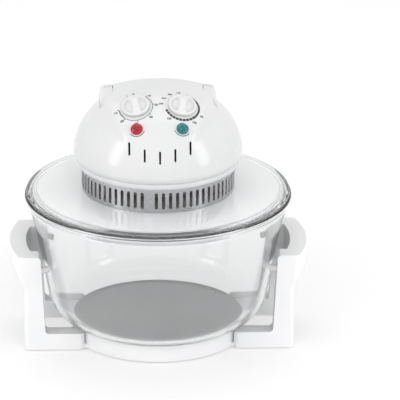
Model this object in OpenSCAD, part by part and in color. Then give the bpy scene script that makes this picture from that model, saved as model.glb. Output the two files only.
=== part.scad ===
// Halogen oven: a lift-off heater head on a glass lid, over a glass bowl in a two-handled stand.
// Millimetres, +Z up, -Y to the front. The origin is on the table, under the bowl's centre.

/* [Stand] */
// Outer radius of the round base
ring_r = 108; // [100:1:128]
// Width of the round base, from its outer to its inner wall
ring_band = 30; // [26:1:36]
// Height of the seat under the bowl
seat_z = 20.7; // [18:0.1:28]
// Wall of the stand's mouldings
stand_wall = 3; // [2.4:0.1:3.6]
// Half the depth of a side frame, from front face to middle
frame_half = 64.5; // [56:0.5:77]
// Depth of one leg, front to back
leg_depth = 22.5; // [18:0.5:26]
// Distance from the middle to the outer face of a leg
leg_out = 168; // [164:1:176]
// Width of a leg at its top
leg_w = 21; // [17:0.5:24]
// How much wider a leg is at its foot
leg_taper = 5; // [2:0.5:6]
// Distance from the middle to the inner end of a foot
foot_in = 93; // [84:1:100]
// Height of a foot's upper face
foot_h = 22; // [18:0.5:26]
// Outer radius of the grips, about the bowl's axis
grip_r = 187.8; // [184:0.1:205]
// Width of a grip, seen from above
grip_band = 22.8; // [19:0.1:26]
// Height of the grips' upper face
grip_top = 124.5; // [112:0.5:150]
// Height of a grip, from its lower edge to its upper face
grip_h = 46; // [38:1:56]
// Corner radius of a grip, seen from above
grip_corner = 12; // [8:0.5:15]
// Radius of a rubber foot
pad_r = 8; // [6:0.5:8.5]
// How far the rubber feet hold the stand off the table
pad_show = 1; // [0.8:0.1:2]
// Height of the rubber rests that steady the bowl
bumper_z = 105; // [98:1:114]

/* [Bowl] */
// Outer radius of the bowl's rim
rim_r = 166; // [154:1:172]
// Height of the bowl, from its base to its rim
bowl_h = 165; // [140:1:200]
// Radius of the bowl's flat base
base_r = 94; // [84:1:98]
// Outer radius of the round between base and wall
bowl_corner = 44; // [38:1:48]
// How far the wall flares out near the rim
rim_flare = 6.2; // [4:0.1:8]
// Thickness of the glass
glass_t = 5; // [4:0.1:6]

/* [Lid] */
// Thickness of the lid's glass
lid_t = 4; // [3.4:0.1:5]
// How far the lid rises from its edge to its flat middle
lid_rise = 4.2; // [3:0.1:12]
// How far the lid's edge stays inside the bowl's rim
lid_inset = 2; // [1:0.1:4]
// Depth of the lip that centres the lid in the bowl
lip_depth = 4; // [3:0.1:6]
// Width of the lip that centres the lid
lip_w = 4.5; // [3.5:0.1:6]

/* [Vent ring] */
// Outer radius of the slotted metal ring
vent_r = 95.1; // [88:0.1:100]
// Height of the slotted metal ring
vent_h = 30.5; // [27:0.5:37]
// Thickness of the ring's sheet metal
sheet_t = 0.8; // [0.6:0.1:1.2]
// Number of places for slots round the ring
slot_count = 68; // [40:2:76]
// Width of a slot
slot_w = 4; // [3:0.1:4.8]
// Height of a slot
slot_h = 21; // [16:0.5:23]

/* [Head] */
// Radius of the domed cover at its widest
dome_r = 105; // [99:1:112]
// Height of the dome above its widest line
dome_rise = 84; // [76:1:100]
// Wall of the head's mouldings
dome_wall = 2.5; // [2:0.1:3]
// Height of the collar between ring and dome
collar_h = 9.3; // [8:0.1:12]
// Distance between the front air slots
air_pitch = 18.7; // [15:0.1:20]
// Width of a front air slot
air_w = 2.4; // [1.8:0.1:3]
// Height of a front air slot
air_h = 15; // [11:0.5:16]

/* [Control panel] */
// How much flatter than the dome the panel is from side to side
panel_flat = 35; // [30:1:42]
// How far the panel's crown stands above the dome
panel_lift = 5; // [4:0.5:8]
// Half the panel's width at its back edge
panel_back_half = 76; // [70:1:80]
// Half the panel's width at its front edge
panel_front_half = 35; // [34:0.5:38]
// Distance from the front of the dome to the panel's front corners
panel_inset = 19; // [18:0.5:22]
// Place of the panel's back edge, behind the dome's middle
panel_back = 18; // [16:0.5:20]
// How far the panel's flanks spread down to the dome
flank = 3; // [2:0.5:4]

/* [Controls] */
// Radius of a knob
knob_r = 17.5; // [14:0.5:18]
// Height of a knob
knob_h = 7.5; // [6:0.5:12]
// Distance from the middle to each knob
knob_x = 28.5; // [27:0.5:31]
// Distance from the panel's front corners back to the knobs
knob_back = 39; // [37:0.5:42]
// Radius of the knobs' shafts
shaft_r = 3; // [2.5:0.1:3.5]
// Radius of an indicator lens
lens_r = 7.5; // [6:0.1:8]
// Distance from the middle to each indicator lens
lens_x = 28; // [24:0.5:28]
// Distance from the panel's front corners back to the lenses
lens_back = 10; // [9.5:0.5:11]

/* [Handle] */
// Radius of the handle's round ends
hub_r = 16.5; // [14:0.5:17]
// Height of the pivot above the dome's widest line
pivot_up = 66; // [62:0.5:70]
// Place of the pivot, behind the dome's middle
pivot_y = 3; // [1:0.5:5]
// Distance from the middle to the inner face of an arm
arm_in = 56.2; // [54:0.1:58]
// Width of an arm
arm_w = 15.8; // [12:0.1:17]
// How far the grip bar lies behind the dome
bar_gap = 10; // [8:0.5:20]
// Radius of the grip bar
bar_r = 7; // [6:0.5:9]
// Radius of the steel axles
axle_r = 3; // [2.5:0.1:3.5]
// Travel of the safety switch's plunger
plunger_travel = 3; // [2:0.1:4]
// Angle that the handle swings through
handle_swing = 90; // [80:1:95]

/* [Heater and fans] */
// Radius of the heater pan's skirt
pan_r = 84; // [76:1:87]
// Depth of the heater pan
pan_h = 24; // [22:0.5:28]
// Middle radius of the halogen tube
tube_ring_r = 62; // [56:1:66]
// Radius of the halogen tube
tube_r = 5; // [4:0.1:6]
// Radius of the hot air fan
hot_fan_r = 38; // [30:1:44]
// Radius of the cooling fan
cool_fan_r = 58; // [46:1:62]
// Radius of the motor's shaft
motor_shaft_r = 3; // [2.5:0.1:3.5]
// Radius of the motor's rotor
rotor_r = 14; // [12:0.1:16]

/* [Hidden] */
$fn = 64;

// Gaps and fits
rest_gap = 0.3;       // between pieces that rest on each other but lift apart
fit_gap = 0.2;        // between fixed neighbours
turn_gap = 0.7;       // between a turning piece and the recess round it
bearing_gap = 0.05;   // radial, between a shaft and its bore
cut = 1;              // how far a cutter runs past a face

// Bowl: flat base, round corner, leaning wall with a flare at the rim
bowl_z = seat_z + rest_gap;
rim_z = bowl_z + bowl_h;
wall_angle = 9.8;
corner_turn = 90 - wall_angle;
corner_end = [base_r + bowl_corner * sin(corner_turn), bowl_z + bowl_corner * (1 - cos(corner_turn))];
bead_h = 5;
bead_round = 1.5;
lean = (rim_r - rim_flare - corner_end[0]) / (rim_z - corner_end[1]);
rim_land = glass_t + 2;

function corner_pt(turn, rad) =
    [base_r + rad * sin(turn), bowl_z + bowl_corner - rad * cos(turn)];
function wall_share(z) = (z - corner_end[1]) / (rim_z - corner_end[1]);
function wall_r(z) = corner_end[0] + lean * (z - corner_end[1]) + rim_flare * pow(wall_share(z), 4);
function bowl_under(r) =
    r <= base_r ? bowl_z : bowl_z + bowl_corner - sqrt(pow(bowl_corner, 2) - pow(r - base_r, 2));
function bowl_r(z) =
    z < corner_end[1] ? base_r + sqrt(pow(bowl_corner, 2) - pow(bowl_z + bowl_corner - z, 2)) : wall_r(z);

// Stand
ring_in = ring_r - ring_band;
leg_y = frame_half - leg_depth / 2;
leg_in = leg_out - leg_w;
leg_round = 6;
foot_round = 5;
tab_h = 5;
tab_z = pad_show + 1;
tab_reach = 16;
tab_half = leg_depth / 2 - stand_wall;
tab_root = 11;
boss_x = foot_in - 9;
boss_r = 5;
screw_r = 2;
screw_head_r = 3.6;
screw_head_h = 2.2;
pad_x = leg_out - leg_w + 3;
pad_deep = 3;
bumper_r = 4;
bumper_seat = 3;
belly_start = 0.27;    // share of the grip's height above its belly
belly_depth = grip_band - 8;

// Lid and head levels
lid_edge_r = rim_r - lid_inset;
lid_z = rim_z + rest_gap;
lid_flat_r = vent_r + 3;
lid_hole_r = vent_r - 11;
lid_under = lid_z + lid_rise;
vent_z = lid_under + lid_t;
collar_z = vent_z + vent_h;
plate_r = vent_r - 2.5;
plate_z = collar_z + 1;
plate_t = 1.2;
plate_top = plate_z + plate_t;
dome_edge_z = collar_z + collar_h;
dome_skirt = 7.7;
dome_z = dome_edge_z + dome_skirt;
dome_edge_turn = 14.4;
dome_skirt_rise = dome_skirt / sin(dome_edge_turn);
dome_edge_r = dome_r * cos(dome_edge_turn);
spigot_h = 4.7;
spigot_wall = 3;
collar_lip = 4.6;
slot_z = vent_z + vent_h / 2;
slot_lead = 5;
air_z = dome_z + 26;
air_arch = 2.07;
air_deep = 50;

// Control panel: a crowned skin that spreads from the dome's front
panel_front = -(dome_r - panel_inset);
panel_length = panel_back - panel_front;
panel_bulge = 5;
panel_lip = 0.8;
panel_wall = 3;
panel_edge = 6;
opening_lead = 9;
crown_y = 15;
crown = [dome_r + panel_flat, dome_r + crown_y, dome_rise + panel_lift];

function dome_top(x, y) = dome_z + dome_rise * sqrt(max(0, 1 - (x * x + y * y) / pow(dome_r, 2)));
function crown_top(x, y) =
    dome_z + crown[2] * sqrt(max(0, 1 - pow(x / crown[0], 2) - pow((y - crown_y) / crown[1], 2)));
function panel_top(x, y) = max(crown_top(x, y), dome_top(x, y) + panel_lip);
function panel_half(y) =
    panel_front_half + (panel_back_half - panel_front_half) * sqrt(max(0, (y - panel_front) / panel_length));
function crown_tilt(x, y) =
    let (n = [x / pow(crown[0], 2), (y - crown_y) / pow(crown[1], 2), (crown_top(x, y) - dome_z) / pow(crown[2], 2)])
    [asin(-n[1] / norm(n)), atan2(n[0], n[2]), 0];

// Controls
knob_y = panel_front + knob_back;
lens_y = panel_front + lens_back;
knob_lift = 0.9;
knob_rim = knob_h - 3.5;
scoop_floor = 1.6;
stem_r = shaft_r + 2.5;
stem_low = 3.4;
stem_gap = 0.8;
bush_top = 4;
body_top = 8;
control_boss_r = 3.5;
control_screw_r = 1.5;
control_screw_x = knob_r - 4.5;
scoop_at = knob_r * 0.86;
scoop_r = knob_r * 0.62;
flat_x = shaft_r * 0.6;
shaft_tail = 24;
screw_sink = 1.6;
thread_l = 4;
lens_deep = 8;
lens_proud = 1.2;
lens_dome = 3;
lamp_r = 2.5;
lamp_h = 12;
shaft_tip = knob_h - 4;

// Handle
pivot = [0, pivot_y, dome_z + pivot_up];
arm_out = arm_in + arm_w;
notch_in = arm_in - 1;
notch_out = arm_out + 1.5;
pocket_r = hub_r + turn_gap;
pocket_wall = 1.5;
hub_top = crown_top(arm_in + arm_w / 2, pivot_y) - 0.2;
bar_y = dome_r + bar_gap + bar_r;
bar_z = dome_z + 26;
ear_in = 46;
ear_r = axle_r + 5;
cam_x = ear_in - 3;
cam_w = 5;
cam_low = 9;
cam_lead = 20;
cam_tip_gap = 0.4;
arm_r = 6;
arm_start = [8, 5.5];
arm_bend = [37, -0.3];
arm_clear = 0.8;
switch_size = [11, 20, 16];
switch_drop = 3;
plunger_r = 2;
opening_front = lens_y + 1;
opening_back = panel_back - panel_edge;
neck_y = pivot_y - pocket_r - 2;
neck_half = ear_in - 2;
switch_x = -cam_x + cam_w / 2;
rib_t = 3;

// Fixings, heater and levels inside the head
gasket_t = 1.5;
seam_turn = 262;
cover_screw_at = plate_r - 8.6;
cover_screw_l = 10;
cover_boss_r = 4.5;
stud_r = 2;
nut_h = 3;
pan_roof_z = lid_under - gasket_t;
pan_low = pan_roof_z - pan_h;
insulation_t = 6;
tube_z = pan_low + 11;
tube_open = 50;
lead_r = 1.2;
wire_r = 1.2;
guard_pitch = 11.5;
inlet_w = 30;
inlet_h = 20;
inlet_deep = 26;
inlet_z = dome_z + 8;
cutout_at = [-55, 35];
cutout_r = 8;
cutout_h = 5;
inlet_wall = 2.5;
inlet_face_y = dome_r + 1.5;
pin_r = 1.8;
pin_pitch = 7;
pin_rise = 2;
block_size = [18, 34, 12];
block_at = [50, 34];
block_pitch = 11;
block_bore_r = 2;
switch_z = pivot[2] - cam_low - plunger_travel - cam_tip_gap - switch_size[2] - switch_drop;

// Motor and fans
stator_z = plate_top + 12.8;
stator_h = 18;
stator_half = 30;
stator_front = -18;
stator_back = 46;
window = [28, 16];
window_y = 20;
air_gap = 0.6;
rotor_over = 0.5;
bracket_t = 1.5;
bracket_half = [34, 8];
bracket_low = plate_top + 6;
bracket_high = stator_z + stator_h + 4;
bush_r = 5;
bush_h = 7;
motor_screw_x = 25;
spacer_r = 3.5;
hub_wall = 3;
cool_fan_z = vent_z + 7;
cool_fan_h = 13;
hot_fan_h = 10;
fan_sheet = 0.8;
blade_from = 0.35;    // a blade's inner end and its length, as shares of the fan's radius
blade_length = 0.6;
blade_turn = 18;
hot_fan_z = pan_roof_z - sheet_t - 4 - hot_fan_h;
shaft_low = hot_fan_z - 4;
shaft_top = bracket_high + 7;

// Timer and thermostat
timer_size = [36, 36, 24];
thermostat_size = [36, 30, 20];
bell_r = 18;
bell_h = 12;

// Shared shapes

module revolve(points) {
    rotate_extrude() polygon(points);
}

module tube(r_out, r_in, z, h) {
    translate([0, 0, z]) difference() {
        cylinder(r = r_out, h = h);
        translate([0, 0, -cut]) cylinder(r = r_in, h = h + 2 * cut);
    }
}

module rod(r, z, h) {
    translate([0, 0, z]) cylinder(r = r, h = h);
}

module along_x(x, h) {
    translate([x, 0, 0]) rotate([90, 0, 90]) linear_extrude(h) children();
}

module rounded_rect(size, r) {
    square([size[0] - 2 * r, size[1]], center = true);
    square([size[0], size[1] - 2 * r], center = true);
    for (x = [-1, 1], y = [-1, 1])
        translate([x * (size[0] / 2 - r), y * (size[1] / 2 - r)]) circle(r);
}

module rounded_box(size, r) {
    translate([0, 0, -size[2] / 2]) linear_extrude(size[2]) rounded_rect([size[0], size[1]], r);
}

module both_sides() {
    for (side = [-1, 1]) mirror([side < 0 ? 1 : 0, 0, 0]) children();
}

module front_and_back() {
    for (side = [-1, 1]) mirror([0, side < 0 ? 1 : 0, 0]) children();
}

// Tangent bar between two round ends, as a flat outline
module link(a, ra, b, rb) {
    gap = norm(b - a);
    turn = atan2(b[1] - a[1], b[0] - a[0]);
    lean_in = acos((ra - rb) / gap);
    function rim(c, r, t) = c + r * [cos(t), sin(t)];
    translate(a) circle(ra);
    translate(b) circle(rb);
    polygon([
        rim(a, ra, turn + lean_in), rim(a, ra, turn - lean_in),
        rim(b, rb, turn - lean_in), rim(b, rb, turn + lean_in),
    ]);
}

// Places things square to the panel's surface
module on_panel(x, y) {
    translate([x, y, crown_top(x, y)]) rotate(crown_tilt(x, y)) children();
}

module at_pivot() {
    translate(pivot) children();
}

// Stand

module base_ring() color("white") difference() {
    union() {
        difference() {
            revolve(concat(
                [[ring_in, pad_show], [ring_in, seat_z]],
                [for (r = [base_r : 2 : ring_r - 2]) [r, bowl_under(r) - rest_gap]],
                [
                    [ring_r - 1, bowl_under(ring_r - 1) - rest_gap],
                    [ring_r, bowl_under(ring_r) - rest_gap - 1],
                    [ring_r, pad_show],
                ]));
            revolve([
                [ring_in + stand_wall, pad_show - cut],
                [ring_in + stand_wall, seat_z - stand_wall],
                [ring_r - stand_wall, seat_z - stand_wall],
                [ring_r - stand_wall, pad_show - cut],
            ]);
        }
        rod(ring_in + stand_wall / 2, seat_z - stand_wall, stand_wall);
        at_bosses() rod(boss_r, tab_z + tab_h, seat_z - stand_wall / 2 - tab_z - tab_h);
    }
    at_bosses() rod(screw_r, tab_z, seat_z - stand_wall - tab_z);
    at_feet() translate([foot_in + tab_root, 0, tab_z + tab_h / 2])
        cube([2 * (tab_reach + tab_root), 2 * (tab_half + fit_gap), tab_h + 4 * cut], center = true);
}

module at_feet() {
    both_sides() front_and_back() translate([0, leg_y, 0]) children();
}

module at_bosses() {
    at_feet() translate([boss_x, 0, 0]) children();
}

// Side view of a leg and its foot, looking along Y
module leg_outline(inset) {
    x_in = leg_in - leg_taper;
    function fillet(t) = [x_in - foot_round * (1 - sin(t)), foot_h + foot_round * (1 - cos(t))];
    low = inset > 0 ? pad_show - cut : pad_show;
    polygon(concat(
        [[foot_in + inset, low], [foot_in + inset, foot_h - inset - 2], [foot_in + inset + 2, foot_h - inset]],
        [for (t = [0 : 15 : 90]) fillet(t) + [inset, -inset]],
        [[leg_in + inset, grip_top - inset - 3], [leg_in + inset + 3, grip_top - inset]],
        [[leg_out - inset, grip_top - inset], [leg_out - inset, low]]));
}

module leg_shape(inset) {
    half = leg_depth / 2 - inset;
    length = leg_out - foot_in - 2 * inset;
    intersection() {
        translate([0, half, 0]) rotate([90, 0, 0]) linear_extrude(2 * half) leg_outline(inset);
        translate([foot_in + inset + length / 2, 0, -cut])
            linear_extrude(grip_top + 2 * cut) rounded_rect([length, 2 * half], leg_round - inset);
    }
}

// Plan of a grip: its arc, cut off square and rounded at the corners
module grip_plan(inset) {
    r = grip_r - inset;
    half = frame_half - inset;
    corner = grip_corner - inset;
    c = [sqrt(pow(r - corner, 2) - pow(half - corner, 2)), half - corner];
    difference() {
        intersection() {
            circle(r);
            translate([leg_in, -half]) square([r, 2 * half]);
        }
        for (side = [-1, 1]) mirror([0, side < 0 ? 1 : 0]) difference() {
            polygon([c, [c[0], half + cut], [r + 2 * cut, half + cut], c * (r + 2 * cut) / r * 1.05]);
            translate(c) circle(corner);
        }
    }
}

// Section of a grip: an upright inner wall and a bellied outer wall
module grip_section(inset) {
    low = grip_top - grip_h;
    inner = grip_r - grip_band;
    function belly(t) = grip_r - belly_depth * pow(max(0, t - belly_start) / (1 - belly_start), 2);
    bottom = inset > 0 ? low - cut : low;
    steps = [for (t = [1 : -0.1 : 0.1]) t];
    revolve(concat(
        [[inner + inset, grip_top - inset], [inner + inset, bottom]],
        [[belly(1) - inset, bottom]],
        [for (t = steps) [belly(t) - inset, grip_top - t * grip_h]],
        [[grip_r - inset - 0.4, grip_top - inset - 2.2], [grip_r - 2.6 - inset, grip_top - inset]]));
}

module grip_shape(inset) {
    intersection() {
        grip_section(inset);
        translate([0, 0, -cut]) linear_extrude(grip_top + 2 * cut) grip_plan(inset);
    }
}

module bumper_shape() {
    turn = asin(leg_y / bowl_r(bumper_z));
    from = bowl_r(bumper_z + bumper_r) + rest_gap;
    to = leg_in / cos(turn) + bumper_seat;
    front_and_back() rotate([0, 0, turn]) translate([from, 0, bumper_z])
        rotate([0, 90, 0]) cylinder(r = bumper_r, h = to - from);
}

module foot_tab() {
    translate([foot_in - tab_reach, -tab_half, tab_z]) cube([tab_reach + tab_root, 2 * tab_half, tab_h]);
}

module side_frame() difference() {
    union() {
        difference() {
            grip_shape(0);
            grip_shape(stand_wall);
        }
        front_and_back() translate([0, leg_y, 0]) difference() {
            leg_shape(0);
            leg_shape(stand_wall);
        }
        front_and_back() translate([0, leg_y, 0]) {
            translate([pad_x, 0, 0]) rod(pad_r + 2, pad_show, pad_deep + 5);
            foot_tab();
        }
    }
    difference() {
        rod(ring_r + fit_gap, -cut, foot_h + 2 * cut);
        front_and_back() translate([0, leg_y, 0]) foot_tab();
    }
    front_and_back() translate([0, leg_y, 0]) {
        translate([boss_x, 0, 0]) rod(screw_r + fit_gap, 0, foot_h / 2);
        translate([boss_x, 0, 0]) rod(screw_head_r + fit_gap, tab_z - cut, screw_head_h + cut);
        translate([pad_x, 0, 0]) rod(pad_r, pad_show - cut, pad_deep + cut);
    }
    bumper_shape();
}

module left_side_frame() color("white") mirror([1, 0, 0]) side_frame();

module right_side_frame() color("white") side_frame();

module rubber_feet() color("dimgray") both_sides() front_and_back()
    translate([pad_x, leg_y, 0]) rod(pad_r, 0, pad_show + pad_deep);

module bowl_bumpers() color("whitesmoke") both_sides() bumper_shape();

module frame_screws() color("silver") at_bosses() {
    rod(screw_head_r, tab_z, screw_head_h);
    rod(screw_r, tab_z + screw_head_h, 10);
}

// Bowl

module glass_bowl() {
    turns = [0 : 8 : corner_turn];
    levels = [0 : 0.1 : 1];
    function level(t) = corner_end[1] + t * (rim_z - bead_h - corner_end[1]);
    outer = concat(
        [for (t = turns) corner_pt(t, bowl_corner)],
        [for (t = levels) [wall_r(level(t)), level(t)]],
        [[rim_r, rim_z - bead_h + 2], [rim_r, rim_z - bead_round], [rim_r - bead_round, rim_z]]);
    inner = concat(
        [[rim_r - rim_land, rim_z], [wall_r(rim_z - bead_h) - glass_t, rim_z - 1]],
        [for (t = [1 : -0.1 : 0]) [wall_r(level(t)) - glass_t, level(t)]],
        [for (t = [8 * floor(corner_turn / 8) : -8 : 0]) corner_pt(t, bowl_corner - glass_t)]);
    color("lightcyan", 0.4) revolve(concat([[0, bowl_z]], outer, inner, [[0, bowl_z + glass_t]]));
}

// Lid

module glass_lid() {
    function share(r) = max(0, (r - lid_flat_r) / (lid_edge_r - lid_flat_r));
    function under(r) = lid_under - lid_rise * pow(share(r), 2);
    radii = [for (t = [0 : 0.1 : 1]) lid_flat_r + t * (lid_edge_r - lid_flat_r)];
    lip_out = rim_r - rim_land - 3;
    color("lightcyan", 0.4) revolve(concat(
        [[lid_hole_r, lid_under], [lid_hole_r, vent_z]],
        [for (r = radii) [r, under(r) + lid_t - (r == lid_edge_r ? 1.5 : 0)]],
        [[lid_edge_r, lid_z + 1.2], [lid_edge_r - 1.2, lid_z]],
        [for (i = [9 : -1 : 0]) [radii[i], under(radii[i])]]));
    color("lightcyan", 0.4) revolve([
        [lip_out - lip_w, under(lip_out - lip_w) + 1], [lip_out - lip_w + 0.6, lid_z - lip_depth],
        [lip_out - 0.6, lid_z - lip_depth], [lip_out, under(lip_out) + 1],
    ]);
}

module lid_gasket() color("gray") tube(plate_r, lid_hole_r, lid_under - gasket_t, gasket_t);

// Head: metal ring, collar, cover

module vent_ring() color("silver") difference() {
    revolve([
        [lid_hole_r + 2, vent_z], [vent_r, vent_z], [vent_r, collar_z],
        [vent_r - sheet_t, collar_z], [vent_r - sheet_t, vent_z + sheet_t], [lid_hole_r + 2, vent_z + sheet_t],
    ]);
    for (i = [1 : slot_count - 1])
        rotate([0, 0, seam_turn + i * 360 / slot_count])
            translate([vent_r - slot_lead, 0, slot_z]) rotate([0, 90, 0])
                linear_extrude(2 * slot_lead) rounded_slot(slot_h, slot_w);
}

// A slot with round ends, its length along X
module rounded_slot(length, width) {
    square([length - width, width], center = true);
    for (side = [-1, 1]) translate([side * (length - width) / 2, 0]) circle(width / 2);
}

module head_collar() color("white") difference() {
    revolve([
        [plate_r - collar_lip, collar_z], [vent_r + 2.9, collar_z], [dome_edge_r - 1.6, collar_z + 2.2],
        [dome_edge_r - 0.7, collar_z + 4.4], [dome_edge_r - 0.9, dome_edge_z - 1.6], [dome_edge_r - 1.7, dome_edge_z],
        [dome_edge_r - dome_wall - fit_gap, dome_edge_z],
        [dome_edge_r - dome_wall - fit_gap, dome_edge_z + spigot_h],
        [dome_edge_r - dome_wall - fit_gap - spigot_wall, dome_edge_z + spigot_h],
        [plate_r + fit_gap, collar_z + 4], [plate_r + fit_gap, plate_z], [plate_r - collar_lip, plate_z],
    ]);
    translate([0, dome_r, inlet_z]) cube([inlet_w + 2, 2 * inlet_deep, inlet_h + 2], center = true);
}

module chassis_plate() color("lightgray") difference() {
    rod(plate_r, plate_z, plate_t);
    rod(motor_shaft_r + 5, plate_z - cut, plate_t + 2 * cut);
    at_studs() rod(stud_r + fit_gap, plate_z - cut, plate_t + 2 * cut);
    at_cover_screws() rod(screw_r + fit_gap, plate_z - cut, plate_t + 2 * cut);
    at_motor_screws() rod(screw_r + fit_gap, plate_z - cut, plate_t + 2 * cut);
}

module at_cover_screws() {
    for (turn = [45 : 90 : 315]) rotate([0, 0, turn]) translate([cover_screw_at, 0, 0]) children();
}

// Solid under a dome surface, inset by a wall
module dome_solid(inset) {
    high = dome_rise - inset;
    wide = dome_r - inset;
    low = inset > 0 ? dome_edge_z - cut : dome_edge_z;
    revolve(concat(
        [[0, low], [wide * cos(dome_edge_turn), low]],
        [for (t = [-10 : 5 : -5]) [wide * cos(t), dome_z + dome_skirt_rise * sin(t)]],
        [for (t = [0 : 5 : 90]) [wide * cos(t), dome_z + high * sin(t)]]));
}

module head_cover() color("white") difference() {
    union() {
        difference() {
            dome_solid(0);
            dome_solid(dome_wall);
        }
        intersection() {
            dome_solid(dome_wall / 2);
            union() {
                both_sides() at_pivot() {
                    along_x(notch_in - pocket_wall, notch_out - notch_in + 2 * pocket_wall)
                        circle(pocket_r + pocket_wall);
                    along_x(ear_in, notch_in - ear_in) circle(ear_r);
                }
                at_cover_screws() rod(cover_boss_r, plate_top, dome_rise);
                translate([switch_x - switch_size[0] / 2 - rib_t, pivot_y - switch_size[1] / 2, switch_z])
                    cube([rib_t, switch_size[1], pivot[2] - ear_r / 2 - switch_z]);
            }
        }
    }
    both_sides() at_pivot() {
        along_x(notch_in, notch_out - notch_in) circle(pocket_r);
        along_x(ear_in - cut, notch_in - ear_in + 2 * cut) circle(axle_r + bearing_gap);
    }
    at_cover_screws() rod(screw_r, plate_top - cut, cover_screw_l + 2 * cut);
    panel_opening();
    both_sides() on_panel(lens_x, lens_y) rod(lens_r + fit_gap, -20, 30);
    for (i = [-2 : 2])
        translate([i * air_pitch, -dome_r + air_deep / 2, air_z + air_arch * i * i]) rotate([90, 90, 0])
            linear_extrude(air_deep + 2 * cut, center = true) rounded_slot(air_h, air_w);
    translate([0, dome_r, inlet_z]) cube([inlet_w, 2 * inlet_deep, inlet_h], center = true);
}

// Opening in the dome under the panel, with a ledge all round and a neck between the handle's ears
module panel_opening() {
    steps = [for (t = [0 : 0.1 : 1]) opening_front + t * (neck_y - opening_front)];
    half = concat(
        [for (y = steps) [panel_half(y) - 2 * panel_edge, y]],
        [[neck_half, neck_y], [neck_half, opening_back]]);
    translate([0, 0, dome_z]) linear_extrude(2 * dome_rise)
        polygon(concat(half, [for (i = [len(half) - 1 : -1 : 0]) [-half[i][0], half[i][1]]]));
}

// The panel: a skin of stations from back to front, closed over the dome
panel_steps = 22;
panel_across = 20;

// Underside of the panel: on the dome round the edge, a full wall deep over the opening
function over_opening(x, y) =
    y > opening_front + opening_lead && y < opening_back - opening_lead
    && abs(x) < panel_half(y) - 2 * panel_edge - opening_lead
    && (y < neck_y - opening_lead || abs(x) < neck_half - opening_lead);
function panel_under(x, y) =
    over_opening(x, y) ? min(dome_top(x, y), panel_top(x, y) - panel_wall) : dome_top(x, y) + fit_gap;

function panel_station(t, inset, deep) =
    let (y0 = panel_back - inset - t * (panel_length - 2 * inset))
    let (w = panel_half(y0) - inset)
    let (row = [for (i = [0 : panel_across])
        let (s = 2 * i / panel_across - 1)
        [s * w, y0 - panel_bulge * pow(t, 6) * (1 - s * s)]])
    let (foot = [for (i = [panel_across : -1 : 0])
        let (s = 2 * i / panel_across - 1)
        [s * (w + flank), row[i][1]]])
    concat(
        [for (p = row) [p[0], p[1], panel_top(p[0], p[1]) - inset]],
        [for (p = foot) [p[0], p[1], panel_under(p[0], p[1]) - deep]]);

module panel_skin(inset, deep) {
    rows = [for (k = [0 : panel_steps]) panel_station(k / panel_steps, inset, deep)];
    n = len(rows[0]);
    quads = [for (k = [0 : panel_steps - 1], i = [0 : n - 1])
        let (j = (i + 1) % n)
        each [[k * n + i, k * n + j, (k + 1) * n + j], [k * n + i, (k + 1) * n + j, (k + 1) * n + i]]];
    half = panel_across;
    caps = [for (i = [0 : half - 1])
        each [[i, n - 1 - i, i + 1], [i + 1, n - 1 - i, n - 2 - i]]];
    last = panel_steps * n;
    polyhedron(
        points = [for (row = rows) each row],
        faces = concat(quads, caps, [for (f = caps) [last + f[0], last + f[2], last + f[1]]]));
}

module control_panel() color("white") difference() {
    union() {
        difference() {
            panel_skin(0, 0);
            panel_skin(panel_wall, 4);
        }
        both_sides() on_panel(knob_x, knob_y)
            for (side = [-1, 1]) translate([side * control_screw_x, 0, 0])
                rod(control_boss_r, -body_top, body_top - 1);
    }
    both_sides() {
        on_panel(knob_x, knob_y) {
            rod(stem_r + stem_gap, -body_top, body_top + 4);
            for (side = [-1, 1]) translate([side * control_screw_x, 0, 0]) {
                rod(control_screw_r, -body_top - cut, body_top + 2 * cut);
                rod(2 * control_screw_r, -screw_sink, 2 * screw_sink);
            }
        }
        on_panel(lens_x, lens_y) rod(lens_r, -lens_deep - cut, 2 * lens_deep);
        at_pivot() along_x(notch_in, panel_back_half) {
            circle(pocket_r);
            translate([0, -2 * hub_r]) square([4 * hub_r, 4 * hub_r]);
        }
    }
}

module cover_screws() color("silver") at_cover_screws() {
    rod(screw_head_r, plate_z - screw_head_h, screw_head_h);
    rod(screw_r, plate_z, cover_screw_l);
}

// Heater

module at_studs() {
    for (turn = [90 : 120 : 330]) rotate([0, 0, turn]) translate([lid_hole_r - 8, 0, 0]) children();
}

module heater_pan() color("gainsboro") difference() {
    revolve([
        [motor_shaft_r + 5, pan_roof_z - sheet_t], [motor_shaft_r + 5, pan_roof_z], [plate_r, pan_roof_z],
        [plate_r, pan_roof_z - sheet_t], [pan_r, pan_roof_z - sheet_t], [pan_r - 1.5, pan_low + 3],
        [pan_r - 3, pan_low], [pan_r - 7, pan_low], [pan_r - 7, pan_low + sheet_t],
        [pan_r - 3.6, pan_low + sheet_t], [pan_r - 1.5 - sheet_t, pan_low + 3.2],
        [pan_r - sheet_t, pan_roof_z - sheet_t],
    ]);
    at_studs() rod(stud_r + fit_gap, pan_roof_z - cut - sheet_t, sheet_t + 2 * cut);
    at_tube_ends() rod(lead_r + 1, pan_roof_z - cut - sheet_t, sheet_t + 2 * cut);
}

module insulation_disc() color("beige") difference() {
    rod(lid_hole_r - 2, pan_roof_z, insulation_t);
    rod(motor_shaft_r + 5, pan_roof_z - cut, insulation_t + 2 * cut);
    at_studs() rod(stud_r + fit_gap, pan_roof_z - cut, insulation_t + 2 * cut);
    at_tube_ends() rod(lead_r + fit_gap, pan_roof_z - cut, insulation_t + 2 * cut);
}

module pan_studs() color("silver") at_studs() {
    rod(stud_r + 1.5, pan_roof_z + insulation_t, plate_z - pan_roof_z - insulation_t);
    rod(stud_r, pan_low + 14, plate_top + 4 - pan_low - 14);
}

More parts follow.
